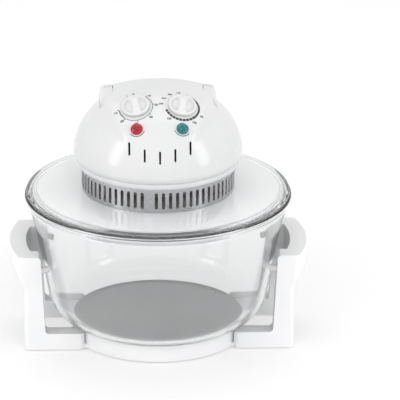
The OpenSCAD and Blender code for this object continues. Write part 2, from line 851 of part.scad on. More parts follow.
module stud_nuts() color("silver") at_studs() {
    for (z = [plate_top, pan_roof_z - sheet_t - nut_h])
        difference() {
            translate([0, 0, z]) cylinder(r = stud_r + 2, h = nut_h, $fn = 6);
            rod(stud_r, z - cut, nut_h + 2 * cut);
        }
}

module at_tube_ends() {
    for (side = [-1, 1]) rotate([0, 0, 90 + side * tube_open / 2]) translate([tube_ring_r, 0, 0]) children();
}

module halogen_tube() color("mistyrose") {
    rotate([0, 0, 90 + tube_open / 2]) rotate_extrude(angle = 360 - tube_open)
        translate([tube_ring_r, tube_z]) circle(tube_r);
    at_tube_ends() rod(lead_r, tube_z, pan_roof_z + insulation_t + 6 - tube_z);
}

module tube_end_caps() color("ivory") for (side = [-1, 1])
    rotate([0, 0, 90 + side * (tube_open / 2 - 6)]) translate([tube_ring_r, 0, tube_z]) difference() {
        rounded_box([2 * tube_r + 3, tube_ring_r * 0.16, 2 * tube_r + 2], 2);
        rotate([0, 0, -90 * (1 - side)]) translate([0, -tube_ring_r * 0.1, 0]) rotate([90, 0, 0])
            cylinder(r = tube_r, h = tube_ring_r * 0.1, center = true);
    }

module tube_clips() color("silver") for (turn = [-90, 30, 150]) rotate([0, 0, turn])
    translate([tube_ring_r, 0, tube_z]) {
        rotate([90, 0, 0]) difference() {
            cylinder(r = tube_r + 1.2, h = 5, center = true);
            cylinder(r = tube_r + 0.1, h = 7, center = true);
        }
        rod(1.5, tube_r + 0.8, pan_roof_z - sheet_t - tube_z - tube_r - 0.8);
    }

module grille_guard() color("silver") {
    z = pan_low + sheet_t;
    last = pan_r - 6;
    for (r = concat([for (r = [guard_pitch : guard_pitch : last - guard_pitch / 2]) r], [last]))
        tube(r + wire_r, r - wire_r, z, 2 * wire_r);
    for (turn = [0 : 60 : 300]) rotate([0, 0, turn]) translate([guard_pitch, -wire_r, z])
        cube([last - guard_pitch, 2 * wire_r, 2 * wire_r]);
}

// Motor and fans

module at_motor_screws() {
    for (side = [-1, 1]) translate([side * motor_screw_x, 0, 0]) children();
}

module motor_stator() color("dimgray") difference() {
    translate([-stator_half, stator_front, stator_z])
        cube([2 * stator_half, stator_back - stator_front, stator_h]);
    rod(rotor_r + air_gap, stator_z - cut, stator_h + 2 * cut);
    translate([-window[0] / 2, window_y, stator_z - cut]) cube([window[0], window[1], stator_h + 2 * cut]);
    at_motor_screws() rod(screw_r, stator_z - cut, stator_h + 2 * cut);
}

module motor_coil() color("peru") difference() {
    y = (window_y + window[1] + stator_back) / 2;
    deep = stator_back - window_y - window[1];
    translate([0, y, stator_z + stator_h / 2]) rounded_box([window[0] - 2, deep + 14, stator_h + 14], 3);
    translate([0, y, stator_z + stator_h / 2]) cube([window[0], deep, stator_h], center = true);
}

module motor_brackets() color("silver") for (z = [bracket_low, bracket_high]) difference() {
    translate([0, 0, z + bracket_t / 2])
        rounded_box([2 * bracket_half[0], 2 * bracket_half[1], bracket_t], 4);
    rod(bush_r, z - cut, bracket_t + 2 * cut);
    at_motor_screws() rod(screw_r, z - cut, bracket_t + 2 * cut);
}

module motor_bushes() color("goldenrod") for (z = [bracket_low, bracket_high])
    tube(bush_r, motor_shaft_r + bearing_gap, z + (bracket_t - bush_h) / 2, bush_h);

module motor_spacers() color("gray") at_motor_screws() {
    tube(spacer_r, screw_r, plate_top, bracket_low - plate_top);
    tube(spacer_r, screw_r, bracket_low + bracket_t, stator_z - bracket_low - bracket_t);
    tube(spacer_r, screw_r, stator_z + stator_h, bracket_high - stator_z - stator_h);
}

module motor_screws() color("silver") at_motor_screws() {
    rod(screw_r, plate_z, bracket_high + bracket_t + nut_h + 1 - plate_z);
    rod(screw_head_r, plate_z - screw_head_h, screw_head_h);
    tube(screw_r + 2, screw_r, bracket_high + bracket_t, nut_h);
}

module motor_shaft() color("lightsteelblue") rod(motor_shaft_r, shaft_low, shaft_top - shaft_low);

module rotor_core() color("slategray") 
    tube(rotor_r, motor_shaft_r, stator_z - rotor_over, stator_h + 2 * rotor_over);

// A fan: hub and disc with upright blades; the disc lies under or over the blades
module fan(r, z, h, blades, hub_h, disc_z) {
    tube(motor_shaft_r + hub_wall, motor_shaft_r, z, hub_h);
    tube(r, motor_shaft_r + hub_wall / 2, disc_z, fan_sheet);
    for (i = [1 : blades]) rotate([0, 0, i * 360 / blades])
        translate([r * blade_from, 0, z]) rotate([0, 0, blade_turn]) cube([r * blade_length, fan_sheet, h]);
}

module cooling_fan() color("whitesmoke") fan(cool_fan_r, cool_fan_z, cool_fan_h, 14, cool_fan_h + 2, cool_fan_z);

module hot_air_fan() color("silver")
    fan(hot_fan_r, hot_fan_z, hot_fan_h, 12, hot_fan_h, hot_fan_z + hot_fan_h - fan_sheet);

module fan_nut() color("silver") difference() {
    translate([0, 0, hot_fan_z - nut_h]) cylinder(r = motor_shaft_r + 2.5, h = nut_h, $fn = 6);
    rod(motor_shaft_r, hot_fan_z - nut_h - cut, nut_h + 2 * cut);
}

// Controls, each drawn square to the panel at its knob

module control_body(size, boss) {
    difference() {
        translate([0, 0, -body_top - size[2] / 2]) rounded_box(size, 3);
        rod(shaft_r + bearing_gap, -body_top - size[2] + 4, size[2]);
        for (side = [-1, 1]) translate([side * control_screw_x, 0, 0])
            rod(control_screw_r, -body_top - thread_l - 2, thread_l + 2 + cut);
    }
    tube(boss, shaft_r + bearing_gap, -body_top, body_top - bush_top);
}

module control_shaft() difference() {
    rod(shaft_r, -shaft_tail, shaft_tail + shaft_tip);
    translate([flat_x, -shaft_r, -bush_top + 1]) cube([shaft_r, 2 * shaft_r, shaft_tip + bush_top]);
}

module control_knob() difference() {
    union() {
        revolve([
            [0, knob_lift], [knob_r - 0.8, knob_lift], [knob_r, knob_lift + 1],
            [knob_r - 0.6, knob_rim], [knob_r - 3, knob_h - 1.6], [knob_r - 9, knob_h - 0.3], [0, knob_h],
        ]);
        rod(stem_r, -stem_low, stem_low + knob_lift + 1);
    }
    intersection() {
        for (side = [-1, 1]) translate([side * scoop_at, 0, 0]) rod(scoop_r, knob_lift + scoop_floor, knob_h);
        rod(knob_r - 2, 0, 2 * knob_h);
    }
    difference() {
        rod(shaft_r, -stem_low - cut, stem_low + shaft_tip + cut);
        translate([flat_x, -shaft_r, -bush_top + 1]) cube([shaft_r, 2 * shaft_r, shaft_tip + bush_top]);
    }
}

module left_control() {
    mirror([1, 0, 0]) on_panel(knob_x, knob_y) children();
}

module right_control() {
    on_panel(knob_x, knob_y) children();
}

module timer_body() color("silver") left_control() control_body(timer_size, 4.5);

module timer_bell() color("lightgray") left_control()
    translate([0, 0, -body_top - timer_size[2] - bell_h]) {
        difference() {
            cylinder(r = bell_r, h = bell_h - 2);
            translate([0, 0, 1]) cylinder(r = bell_r - 1, h = bell_h);
        }
        cylinder(r = 2, h = bell_h);
    }

module thermostat_body() color("tan") right_control() control_body(thermostat_size, 4.5);

module timer_shaft() color("lightsteelblue") left_control() control_shaft();

module thermostat_shaft() color("lightsteelblue") right_control() control_shaft();

module timer_knob() color("white") left_control() control_knob();

module thermostat_knob() color("white") right_control() control_knob();

module control_screws() color("silver") both_sides() on_panel(knob_x, knob_y)
    for (side = [-1, 1]) translate([side * control_screw_x, 0, 0]) {
        rod(2 * control_screw_r, -screw_sink, screw_sink - fit_gap);
        rod(control_screw_r, -body_top - thread_l, body_top + thread_l - screw_sink);
    }

module lens() {
    rod(lens_r, -lens_deep, lens_deep + lens_proud);
    translate([0, 0, lens_proud])
        revolve([[0, 0], [lens_r, 0], for (t = [0 : 15 : 90]) [lens_r * cos(t), lens_dome * sin(t)]]);
}

module red_lens() color("red") mirror([1, 0, 0]) on_panel(lens_x, lens_y) lens();

module green_lens() color("teal") on_panel(lens_x, lens_y) lens();

module neon_lamps() color("orange") both_sides() on_panel(lens_x, lens_y) rod(lamp_r, -lens_deep - lamp_h, lamp_h);

// Handle

module carry_handle() color("white") {
    both_sides() at_pivot() difference() {
        union() {
            along_x(arm_in, arm_w) intersection() {
                circle(hub_r);
                translate([-hub_r, -hub_r]) square([2 * hub_r, hub_r + hub_top - pivot[2]]);
            }
            difference() {
                along_x(arm_in, arm_w) {
                    link(arm_start, arm_r, arm_bend, arm_r);
                    link(arm_bend, arm_r, [bar_y, bar_z] - [pivot[1], pivot[2]], bar_r);
                }
                translate(-pivot) dome_solid(-arm_clear);
            }
        }
        along_x(arm_in - cut, arm_w - 2 + cut) circle(axle_r);
    }
    translate([-arm_in - 1, bar_y, bar_z]) rotate([0, 90, 0]) cylinder(r = bar_r, h = 2 * arm_in + 2);
}

module handle_axles() color("lightsteelblue") both_sides() at_pivot()
    along_x(cam_x - cam_w, arm_out - 2 - cam_x + cam_w) circle(axle_r);

// A spiral cam on the left axle lets the plunger rise as the handle is raised
module switch_cam() {
    high = cam_low + plunger_travel;
    function reach(t) = high - plunger_travel * min(1, max(0, t / handle_swing));
    color("gold") translate([-cam_x, 0, 0]) at_pivot() difference() {
        along_x(0, cam_w) polygon(concat(
            [for (t = [-cam_lead : 5 : handle_swing + cam_lead]) reach(t) * [cos(-90 - t), sin(-90 - t)]],
            [for (t = [handle_swing + cam_lead + 10 : 10 : 320]) cam_low * [cos(-90 - t), sin(-90 - t)]]));
        along_x(-cut, cam_w + 2 * cut) circle(axle_r);
    }
}

module safety_switch() color("dimgray") difference() {
    translate([switch_x, pivot_y, switch_z + switch_size[2] / 2]) rounded_box(switch_size, 1);
    translate([switch_x, pivot_y, 0]) rod(plunger_r + bearing_gap, switch_z + 3, switch_size[2]);
}

module switch_plunger() color("red") translate([switch_x, pivot_y, 0]) {
    top = pivot[2] - cam_low - plunger_travel - cam_tip_gap;
    low = switch_z + 5;
    rod(plunger_r, low, top - plunger_r - low);
    translate([0, 0, top - plunger_r]) sphere(plunger_r);
}

// Electrical pieces on the chassis

module thermal_cutout() color("black") translate([cutout_at[0], cutout_at[1], 0]) {
    rod(cutout_r, plate_top, cutout_h);
    rod(cutout_r / 2, plate_top + cutout_h, cutout_h);
}

module terminal_block() color("ivory") translate([block_at[0], block_at[1], plate_top + block_size[2] / 2]) difference() {
    rounded_box(block_size, 1.5);
    for (row = [-1 : 1]) translate([0, row * block_pitch, 1]) rotate([0, 90, 0])
        cylinder(r = block_bore_r, h = block_size[0] + 2 * cut, center = true);
}

module power_inlet() color("black") difference() {
    translate([0, inlet_face_y - inlet_deep / 2, inlet_z]) cube([inlet_w, inlet_deep, inlet_h], center = true);
    translate([0, inlet_face_y + inlet_wall - inlet_deep / 2, inlet_z])
        cube([inlet_w - 2 * inlet_wall, inlet_deep, inlet_h - 2 * inlet_wall], center = true);
    pin_rods();
}

// Three pins, the middle one set higher
module pin_rods() {
    for (place = [-1 : 1])
        translate([place * pin_pitch, inlet_face_y - inlet_deep - 3, inlet_z + pin_rise * (1 - 2 * abs(place))])
            rotate([-90, 0, 0]) cylinder(r = pin_r, h = inlet_deep - 5);
}

module inlet_pins() color("silver") pin_rods();

base_ring();
left_side_frame();
right_side_frame();
rubber_feet();
bowl_bumpers();
frame_screws();
glass_bowl();
glass_lid();
lid_gasket();
vent_ring();
head_collar();
chassis_plate();
head_cover();
control_panel();
cover_screws();
heater_pan();
insulation_disc();
pan_studs();
stud_nuts();
halogen_tube();
tube_end_caps();
tube_clips();
grille_guard();
motor_stator();
motor_coil();
motor_brackets();
motor_bushes();
motor_spacers();
motor_screws();
motor_shaft();
rotor_core();
cooling_fan();
hot_air_fan();
fan_nut();
timer_body();
timer_bell();
thermostat_body();
control_screws();
timer_shaft();
timer_knob();
thermostat_shaft();
thermostat_knob();
red_lens();
green_lens();
neon_lamps();
carry_handle();
handle_axles();
switch_cam();
safety_switch();
switch_plunger();
thermal_cutout();
terminal_block();
power_inlet();
inlet_pins();
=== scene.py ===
# %% [markdown]
# # Halogen oven: from a checked frame to a studio picture
#
# A halogen oven cooks in a round glass bowl. The heater sits in a domed head that is lifted off
# together with the glass lid. The frame holds every piece at its real size, so this lesson never
# resizes anything: it dresses the frame, and where a moulding or a sheet of glass needs softer
# edges than the frame has, it models that piece again in the same place. Lengths are in metres
# and the front of the oven looks along -Y.

from math import cos, pi, radians, sin, sqrt

import bmesh
import bpy
from mathutils import Matrix, Vector


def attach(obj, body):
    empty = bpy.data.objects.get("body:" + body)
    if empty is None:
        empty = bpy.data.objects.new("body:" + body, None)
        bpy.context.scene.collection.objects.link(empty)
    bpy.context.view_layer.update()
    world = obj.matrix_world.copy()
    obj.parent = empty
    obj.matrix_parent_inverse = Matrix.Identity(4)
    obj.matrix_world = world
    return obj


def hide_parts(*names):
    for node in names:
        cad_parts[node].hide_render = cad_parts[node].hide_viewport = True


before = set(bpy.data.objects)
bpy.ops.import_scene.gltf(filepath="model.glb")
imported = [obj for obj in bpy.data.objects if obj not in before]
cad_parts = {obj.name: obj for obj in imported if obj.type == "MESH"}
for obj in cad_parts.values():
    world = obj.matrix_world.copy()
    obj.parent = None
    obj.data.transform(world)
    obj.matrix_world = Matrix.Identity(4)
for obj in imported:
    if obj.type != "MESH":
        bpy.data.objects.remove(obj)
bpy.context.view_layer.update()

# %% [markdown]
# ## Camera
#
# The picture was taken from a little above, with a long lens that keeps the upright posts almost
# parallel. A camera far away with a long focal length does the same. The oven stands left of the
# middle of the picture, so the view is shifted instead of turned: turning the camera would show
# the oven from its side. It comes first, since every later choice is judged through it.

# %% Camera
MM = 0.001
IMAGE_SIDE, SENSOR = 400, 36
CAMERA_TILT = radians(21.5)
CAMERA_SIDE = radians(-1.5)
CAMERA_FAR = 6.0
PIXELS_PER_M = 801.3
SHIFT_X, SHIFT_Y = 42, 18.5
LOOK_AT = Vector((0, 0, 0.150))

camera_data = bpy.data.cameras.new("camera")
camera_data.sensor_width = SENSOR
camera_data.lens = PIXELS_PER_M * CAMERA_FAR / IMAGE_SIDE * SENSOR
camera_data.shift_x = SHIFT_X / IMAGE_SIDE
camera_data.shift_y = SHIFT_Y / IMAGE_SIDE
camera_data.clip_end = 30
camera = bpy.data.objects.new("camera", camera_data)
back = Vector(
    (sin(CAMERA_SIDE) * cos(CAMERA_TILT), -cos(CAMERA_SIDE) * cos(CAMERA_TILT), sin(CAMERA_TILT)))
camera.location = LOOK_AT + CAMERA_FAR * back
camera.rotation_euler = (pi / 2 - CAMERA_TILT, 0, CAMERA_SIDE)
bpy.context.collection.objects.link(camera)
bpy.context.scene.camera = camera
print("camera lens", round(camera_data.lens, 1), "mm at", [round(v, 3) for v in camera.location])

# %% [markdown]
# ## Turning helpers
#
# Most of the oven is round: bowl, lid, collar, pan and knobs were all turned, blown or moulded
# about one axis. Such a piece could be a stack of cylinders, but its corners would stay sharp.
# Drawing half of its section as a line and spinning that line gives every face of the piece at
# once, and rounding the line's corners first gives soft edges all the way round.

# %% Section lines
def section_line(points, rounding=0.0, segments=3, closed=True):
    """A bmesh holding a line of points given as (radius, height) in millimetres."""
    bm = bmesh.new()
    verts = [bm.verts.new((r * MM, 0, z * MM)) for r, z in points]
    pairs = zip(verts, verts[1:] + verts[:1] if closed else verts[1:])
    for a, b in pairs:
        bm.edges.new((a, b))
    if rounding:
        corners = [v for v in bm.verts if len(v.link_edges) == 2 and v.co.x > 1e-6]
        bmesh.ops.bevel(
            bm, geom=corners, offset=rounding * MM, offset_type="OFFSET", affect="VERTICES",
            segments=segments, profile=0.5, material=-1, clamp_overlap=True)
    return bm


def spin_line(bm, steps=128, turn=2 * pi):
    """Spins everything in bm about the oven's axis; a full turn is closed."""
    full = abs(turn - 2 * pi) < 1e-6
    bmesh.ops.spin(
        bm, geom=bm.verts[:] + bm.edges[:], cent=(0, 0, 0), axis=(0, 0, 1), angle=turn,
        steps=steps, use_merge=full)
    bmesh.ops.remove_doubles(bm, verts=bm.verts, dist=2e-6)
    bmesh.ops.recalc_face_normals(bm, faces=bm.faces)
    return bm


# %% Turning a bmesh into a piece that rides on the frame
def make_piece(name, bm, material, body, stands_for=(), sharp=40):
    """Links bm as an object, shades it, puts it on its body and hides the nodes it stands for."""
    mesh = bpy.data.meshes.new(name)
    bm.to_mesh(mesh)
    bm.free()
    obj = bpy.data.objects.new(name, mesh)
    bpy.context.collection.objects.link(obj)
    mesh.shade_smooth()
    mesh.set_sharp_from_angle(angle=radians(sharp))
    mesh.materials.append(material)
    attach(obj, body)
    if stands_for:
        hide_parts(*stands_for)
    print(f"{name}: {len(mesh.polygons)} faces on {body}")
    return obj


def add_bevel(obj, width, segments, angle=35):
    """Softens an object's edges with a live modifier."""
    soft = obj.modifiers.new("soft_edges", "BEVEL")
    soft.width = width * MM
    soft.segments = segments
    soft.limit_method = "ANGLE"
    soft.angle_limit = radians(angle)
    soft.harden_normals = True
    soft.miter_outer = "MITER_ARC"


def turn_z(bm, angle, verts):
    """Turns points about the oven's axis."""
    bmesh.ops.rotate(bm, cent=(0, 0, 0), matrix=Matrix.Rotation(angle, 3, "Z"), verts=verts)


def add_shape(bm, other):
    """Adds another bmesh's shape to bm, and frees it."""
    mesh = bpy.data.meshes.new("added")
    other.to_mesh(mesh)
    other.free()
    bm.from_mesh(mesh)
    bpy.data.meshes.remove(mesh)


def node_copy(name, flat=1.0):
    """A clean, welded copy of a frame node's mesh, with its flat faces joined again."""
    bm = bmesh.new()
    bm.from_mesh(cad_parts[name].data)
    bmesh.ops.remove_doubles(bm, verts=bm.verts, dist=1e-6)
    bmesh.ops.dissolve_limit(
        bm, angle_limit=radians(flat), use_dissolve_boundaries=False, verts=bm.verts,
        edges=bm.edges)
    return bm

# %% [markdown]
# ## Effects shared by several finishes
#
# Real mouldings, glass and sheet metal are never one flat colour. Mouldings drift a little in
# tone and carry a fine texture from the tool, sheet metal is rolled in one direction, and
# everything that is handled picks up faint marks. Each effect is built once as a node group, and
# every finish places it with its own numbers. A group gives out only colours and values; the
# shader itself stays in each material.

# %% A small node-group builder
def new_group(name, inputs, outputs):
    """A shader node group with its sockets; returns the tree and its two end nodes."""
    tree = bpy.data.node_groups.new(name, "ShaderNodeTree")
    kinds = {"value": "NodeSocketFloat", "colour": "NodeSocketColor", "vector": "NodeSocketVector"}
    for label, kind, default in inputs:
        socket = tree.interface.new_socket(name=label, in_out="INPUT", socket_type=kinds[kind])
        if default is not None:
            socket.default_value = default
    for label, kind in outputs:
        tree.interface.new_socket(name=label, in_out="OUTPUT", socket_type=kinds[kind])
    return tree, tree.nodes.new("NodeGroupInput"), tree.nodes.new("NodeGroupOutput")


def put(tree, kind, **settings):
    """Adds a node; settings that name an input set that input, the others set properties."""
    node = tree.nodes.new(kind)
    for key, value in settings.items():
        if hasattr(node, key) and key not in node.inputs:
            setattr(node, key, value)
        else:
            node.inputs[key].default_value = value
    return node


def noise(tree, place, scale, detail=2.0, rough=0.5):
    """A noise texture read at place."""
    node = put(tree, "ShaderNodeTexNoise", Scale=scale, Detail=detail, Roughness=rough)
    tree.links.new(place, node.inputs["Vector"])
    return node.outputs["Fac"]


def spread(tree, value, low, high, out_low=0.0, out_high=1.0):
    """Stretches a value from one range to another, softly."""
    node = put(tree, "ShaderNodeMapRange", interpolation_type="SMOOTHSTEP")
    for key, number in (
            ("From Min", low), ("From Max", high), ("To Min", out_low), ("To Max", out_high)):
        node.inputs[key].default_value = number
    tree.links.new(value, node.inputs["Value"])
    return node.outputs["Result"]


def maths(tree, operation, a, b):
    """One calculation; a and b are sockets or plain numbers."""
    node = tree.nodes.new("ShaderNodeMath")
    node.operation = operation
    for socket, value in zip(node.inputs, (a, b)):
        if isinstance(value, (int, float)):
            socket.default_value = value
        else:
            tree.links.new(value, socket)
    return node.outputs[0]


def blend_colours(tree, share, first, second):
    """Mixes two colours; each is a socket or a tuple."""
    node = put(tree, "ShaderNodeMix", data_type="RGBA")
    tree.links.new(share, node.inputs["Factor"])
    for socket, value in ((node.inputs[6], first), (node.inputs[7], second)):
        if isinstance(value, tuple):
            socket.default_value = value
        else:
            tree.links.new(value, socket)
    return node.outputs[2]


# %% Tone: a slow drift between two shades
tone, t_in, t_out = new_group(
    "tone_drift",
    [("Place", "vector", None), ("Shade", "colour", (0.8, 0.8, 0.8, 1)),
     ("Other shade", "colour", (0.7, 0.7, 0.7, 1)), ("Scale", "value", 12.0)],
    [("Colour", "colour")])
drift = put(tone, "ShaderNodeTexNoise", Detail=3.0, Roughness=0.55)
tone.links.new(t_in.outputs["Place"], drift.inputs["Vector"])
tone.links.new(t_in.outputs["Scale"], drift.inputs["Scale"])
share = spread(tone, drift.outputs["Fac"], 0.32, 0.68)
tone.links.new(
    blend_colours(tone, share, t_in.outputs["Shade"], t_in.outputs["Other shade"]),
    t_out.inputs["Colour"])
print("group", tone.name, "with", len(tone.nodes), "nodes")

# %% Skin: the fine texture of a moulding, with faint marks from handling
skin, s_in, s_out = new_group(
    "moulded_skin",
    [("Place", "vector", None), ("Roughness", "value", 0.3), ("Marks", "value", 0.1),
     ("Grain", "value", 900.0)],
    [("Roughness", "value"), ("Height", "value")])
cloud = noise(skin, s_in.outputs["Place"], 22.0, 4.0, 0.6)
grain = put(skin, "ShaderNodeTexNoise", Detail=1.0)
skin.links.new(s_in.outputs["Place"], grain.inputs["Vector"])
skin.links.new(s_in.outputs["Grain"], grain.inputs["Scale"])
marks = maths(skin, "MULTIPLY", spread(skin, cloud, 0.45, 0.75), s_in.outputs["Marks"])
skin.links.new(maths(skin, "ADD", s_in.outputs["Roughness"], marks), s_out.inputs["Roughness"])
wave = noise(skin, s_in.outputs["Place"], 45.0, 1.0)
skin.links.new(
    maths(skin, "ADD", maths(skin, "MULTIPLY", wave, 3.0), grain.outputs["Fac"]),
    s_out.inputs["Height"])
print("group", skin.name, "with", len(skin.nodes), "nodes")

# %% Rolled: the long fine lines of sheet metal
rolled, r_in, r_out = new_group(
    "rolled_lines",
    [("Place", "vector", None), ("Roughness", "value", 0.25), ("Depth", "value", 0.12),
     ("Stretch", "vector", None)],
    [("Roughness", "value"), ("Height", "value")])
squeeze = put(rolled, "ShaderNodeVectorMath", operation="MULTIPLY")
rolled.links.new(r_in.outputs["Place"], squeeze.inputs[0])
rolled.links.new(r_in.outputs["Stretch"], squeeze.inputs[1])
lines = noise(rolled, squeeze.outputs["Vector"], 1.0, 4.0, 0.65)
cloud = noise(rolled, r_in.outputs["Place"], 30.0, 3.0)
uneven = maths(
    rolled, "MULTIPLY", maths(rolled, "ADD", lines, maths(rolled, "MULTIPLY", cloud, 0.6)),
    r_in.outputs["Depth"])
rolled.links.new(maths(rolled, "ADD", r_in.outputs["Roughness"], uneven), r_out.inputs["Roughness"])
rolled.links.new(lines, r_out.inputs["Height"])
print("group", rolled.name, "with", len(rolled.nodes), "nodes")

# %% [markdown]
# ## Finishes
#
# White mouldings, clear glass, bright sheet metal and a few small coloured pieces make up the
# whole look. All of them read the piece's own place in space, so the texture keeps its real size
# and does not slide when a piece moves. Numbers that are the same all over a surface are set
# straight on the shader; only what changes over the surface comes from a group.

# %% Three kinds of finish
def new_finish(name, **values):
    """A material with its tree, shader and place socket."""
    material = bpy.data.materials.new(name)
    material.use_nodes = True
    tree = material.node_tree
    shader = tree.nodes["Principled BSDF"]
    for key, value in values.items():
        shader.inputs[key.replace("_", " ")].default_value = value
    place = tree.nodes.new("ShaderNodeTexCoord").outputs["Object"]
    return material, tree, shader, place


def use_group(tree, group, place, **values):
    """Places an effect, with its own values."""
    node = tree.nodes.new("ShaderNodeGroup")
    node.node_tree = group
    tree.links.new(place, node.inputs["Place"])
    for key, value in values.items():
        node.inputs[key.replace("_", " ")].default_value = value
    return node


def use_height(tree, shader, height, strength, distance=0.0002):
    """Raises the surface a little by a height, in metres."""
    bump = put(tree, "ShaderNodeBump", Strength=strength, Distance=distance)
    tree.links.new(height, bump.inputs["Height"])
    tree.links.new(bump.outputs["Normal"], shader.inputs["Normal"])


def moulding(
        name, shade, other, roughness=0.3, marks=0.1, grain=900.0, relief=0.15, scale=12.0,
        **values):
    """A moulded plastic, rubber or ceramic."""
    material, tree, shader, place = new_finish(name, **values)
    colour = use_group(tree, tone, place, Shade=(*shade, 1), Other_shade=(*other, 1), Scale=scale)
    surface = use_group(tree, skin, place, Roughness=roughness, Marks=marks, Grain=grain)
    tree.links.new(colour.outputs["Colour"], shader.inputs["Base Color"])
    tree.links.new(surface.outputs["Roughness"], shader.inputs["Roughness"])
    use_height(tree, shader, surface.outputs["Height"], relief)
    return material


def metal(
        name, shade, other, roughness=0.25, depth=0.12, stretch=(40, 40, 900), relief=0.1,
        scale=15.0, **values):
    """Sheet, wire or turned metal with its rolled lines."""
    material, tree, shader, place = new_finish(name, Metallic=1.0, **values)
    colour = use_group(tree, tone, place, Shade=(*shade, 1), Other_shade=(*other, 1), Scale=scale)
    surface = use_group(tree, rolled, place, Roughness=roughness, Depth=depth, Stretch=stretch)
    tree.links.new(colour.outputs["Colour"], shader.inputs["Base Color"])
    tree.links.new(surface.outputs["Roughness"], shader.inputs["Roughness"])
    use_height(tree, shader, surface.outputs["Height"], relief)
    return material


def glassy(name, colour, roughness=0.0, marks=0.02, ior=1.47, relief=0.02, clear=1.0):
    """Clear glass with faint marks where hands and cloths have been."""
    material, tree, shader, place = new_finish(
        name, Base_Color=(*colour, 1), Metallic=0.0, Transmission_Weight=clear, IOR=ior)
    surface = use_group(tree, skin, place, Roughness=roughness, Marks=marks, Grain=160.0)
    tree.links.new(surface.outputs["Roughness"], shader.inputs["Roughness"])
    use_height(tree, shader, surface.outputs["Height"], relief)
    return material


# %% Finishes that show from outside
white_stand = moulding(
    "white stand moulding", (0.86, 0.86, 0.865), (0.83, 0.832, 0.84), roughness=0.32, marks=0.12)
# Painted shade: the head's white is set darker than the stand's white, to offset the stronger light
# that falls on the head.
white_head_painted_shade = moulding(
    "white head moulding with painted shade", (0.66, 0.66, 0.665), (0.635, 0.637, 0.642), roughness=0.16, marks=0.08,
    relief=0.06, Coat_Weight=0.35, Coat_Roughness=0.06)
# Painted shade: the knobs' white is set darker than the stand's white, like the head's, to offset
# the stronger light on the panel.
white_knob_painted_shade = moulding(
    "white knob plastic with painted shade", (0.68, 0.68, 0.685), (0.65, 0.65, 0.655), roughness=0.2, marks=0.08,
    relief=0.05, Coat_Weight=0.3, Coat_Roughness=0.08)
clear_glass = glassy("clear bowl glass", (0.92, 0.928, 0.93))
lid_sheet = glassy("lid glass", (0.97, 0.973, 0.98), roughness=0.04, marks=0.05, clear=0.45)
slotted_steel = metal(
    "slotted bright steel", (0.50, 0.505, 0.52), (0.42, 0.425, 0.44), roughness=0.14, depth=0.14,
    stretch=(25, 25, 1400), relief=0.12)
foot_rubber = moulding(
    "dark rubber", (0.035, 0.035, 0.036), (0.06, 0.06, 0.06), roughness=0.7, marks=0.2,
    grain=1400.0, relief=0.4)
pale_rubber = moulding(
    "pale rubber", (0.86, 0.86, 0.85), (0.82, 0.82, 0.81), roughness=0.5, marks=0.15, grain=1200.0,
    relief=0.3, Subsurface_Weight=0.15, Subsurface_Scale=0.002)
bright_pan = metal(
    "spun aluminium", (0.80, 0.80, 0.81), (0.72, 0.72, 0.73), roughness=0.2, depth=0.16,
    stretch=(30, 30, 700), relief=0.15)
plated_wire = metal(
    "plated wire", (0.66, 0.66, 0.67), (0.58, 0.58, 0.59), roughness=0.12, depth=0.08)
print(len(bpy.data.materials), "finishes so far")

# %% Finishes of the inner pieces
zinc = metal(
    "zinc plate", (0.55, 0.56, 0.57), (0.45, 0.46, 0.48), roughness=0.35, depth=0.2, scale=60.0)
ground_steel = metal(
    "ground steel", (0.6, 0.6, 0.62), (0.5, 0.5, 0.52), roughness=0.22, depth=0.12,
    stretch=(900, 900, 30))
stacked_steel = metal(
    "stacked sheets", (0.2, 0.2, 0.21), (0.13, 0.13, 0.14), roughness=0.45, depth=0.2,
    stretch=(12, 12, 2600), relief=0.5)
turned_rotor = metal(
    "turned rotor", (0.32, 0.32, 0.34), (0.24, 0.24, 0.26), roughness=0.4, depth=0.2,
    stretch=(12, 12, 2600))
copper_wire = metal(
    "enamelled copper", (0.62, 0.25, 0.10), (0.45, 0.16, 0.06), roughness=0.3, depth=0.2,
    stretch=(2200, 60, 60), relief=0.7, Coat_Weight=0.6)
bronze = metal(
    "sintered bronze", (0.55, 0.38, 0.16), (0.42, 0.28, 0.12), roughness=0.45, depth=0.2,
    stretch=(600, 600, 600))
pressed_fan = metal(
    "pressed fan sheet", (0.66, 0.66, 0.67), (0.56, 0.56, 0.58), roughness=0.3, depth=0.2,
    stretch=(200, 60, 60))
brass_pin = metal("plated brass", (0.68, 0.54, 0.28), (0.6, 0.46, 0.22), roughness=0.25, depth=0.1)
fan_plastic = moulding("fan plastic", (0.7, 0.7, 0.68), (0.6, 0.6, 0.58), roughness=0.45, marks=0.2)
mineral_board = moulding(
    "mineral board", (0.52, 0.50, 0.46), (0.42, 0.40, 0.37), roughness=0.85, marks=0.1, grain=500.0,
    relief=0.9, scale=120.0)
raw_ceramic = moulding(
    "unglazed ceramic", (0.75, 0.71, 0.6), (0.66, 0.61, 0.5), roughness=0.7, grain=800.0,
    relief=0.4)
tan_ceramic = moulding(
    "tan ceramic", (0.5, 0.34, 0.22), (0.42, 0.28, 0.18), roughness=0.6, grain=700.0, relief=0.3)
grey_silicone = moulding(
    "grey silicone", (0.3, 0.3, 0.3), (0.25, 0.25, 0.25), roughness=0.6, relief=0.3)
black_moulding = moulding(
    "black moulding", (0.02, 0.02, 0.022), (0.035, 0.035, 0.036), roughness=0.42, marks=0.2,
    relief=0.3)
cam_plastic = moulding("cam plastic", (0.66, 0.52, 0.2), (0.6, 0.46, 0.16), roughness=0.4)
red_moulding = moulding(
    "red plunger plastic", (0.45, 0.03, 0.02), (0.36, 0.02, 0.02), roughness=0.35)
clear_quartz = glassy("clear quartz", (0.98, 0.95, 0.9), roughness=0.01)
lamp_bulb = glassy("neon bulb", (1.0, 0.62, 0.35), roughness=0.05)
print(len(bpy.data.materials), "finishes")

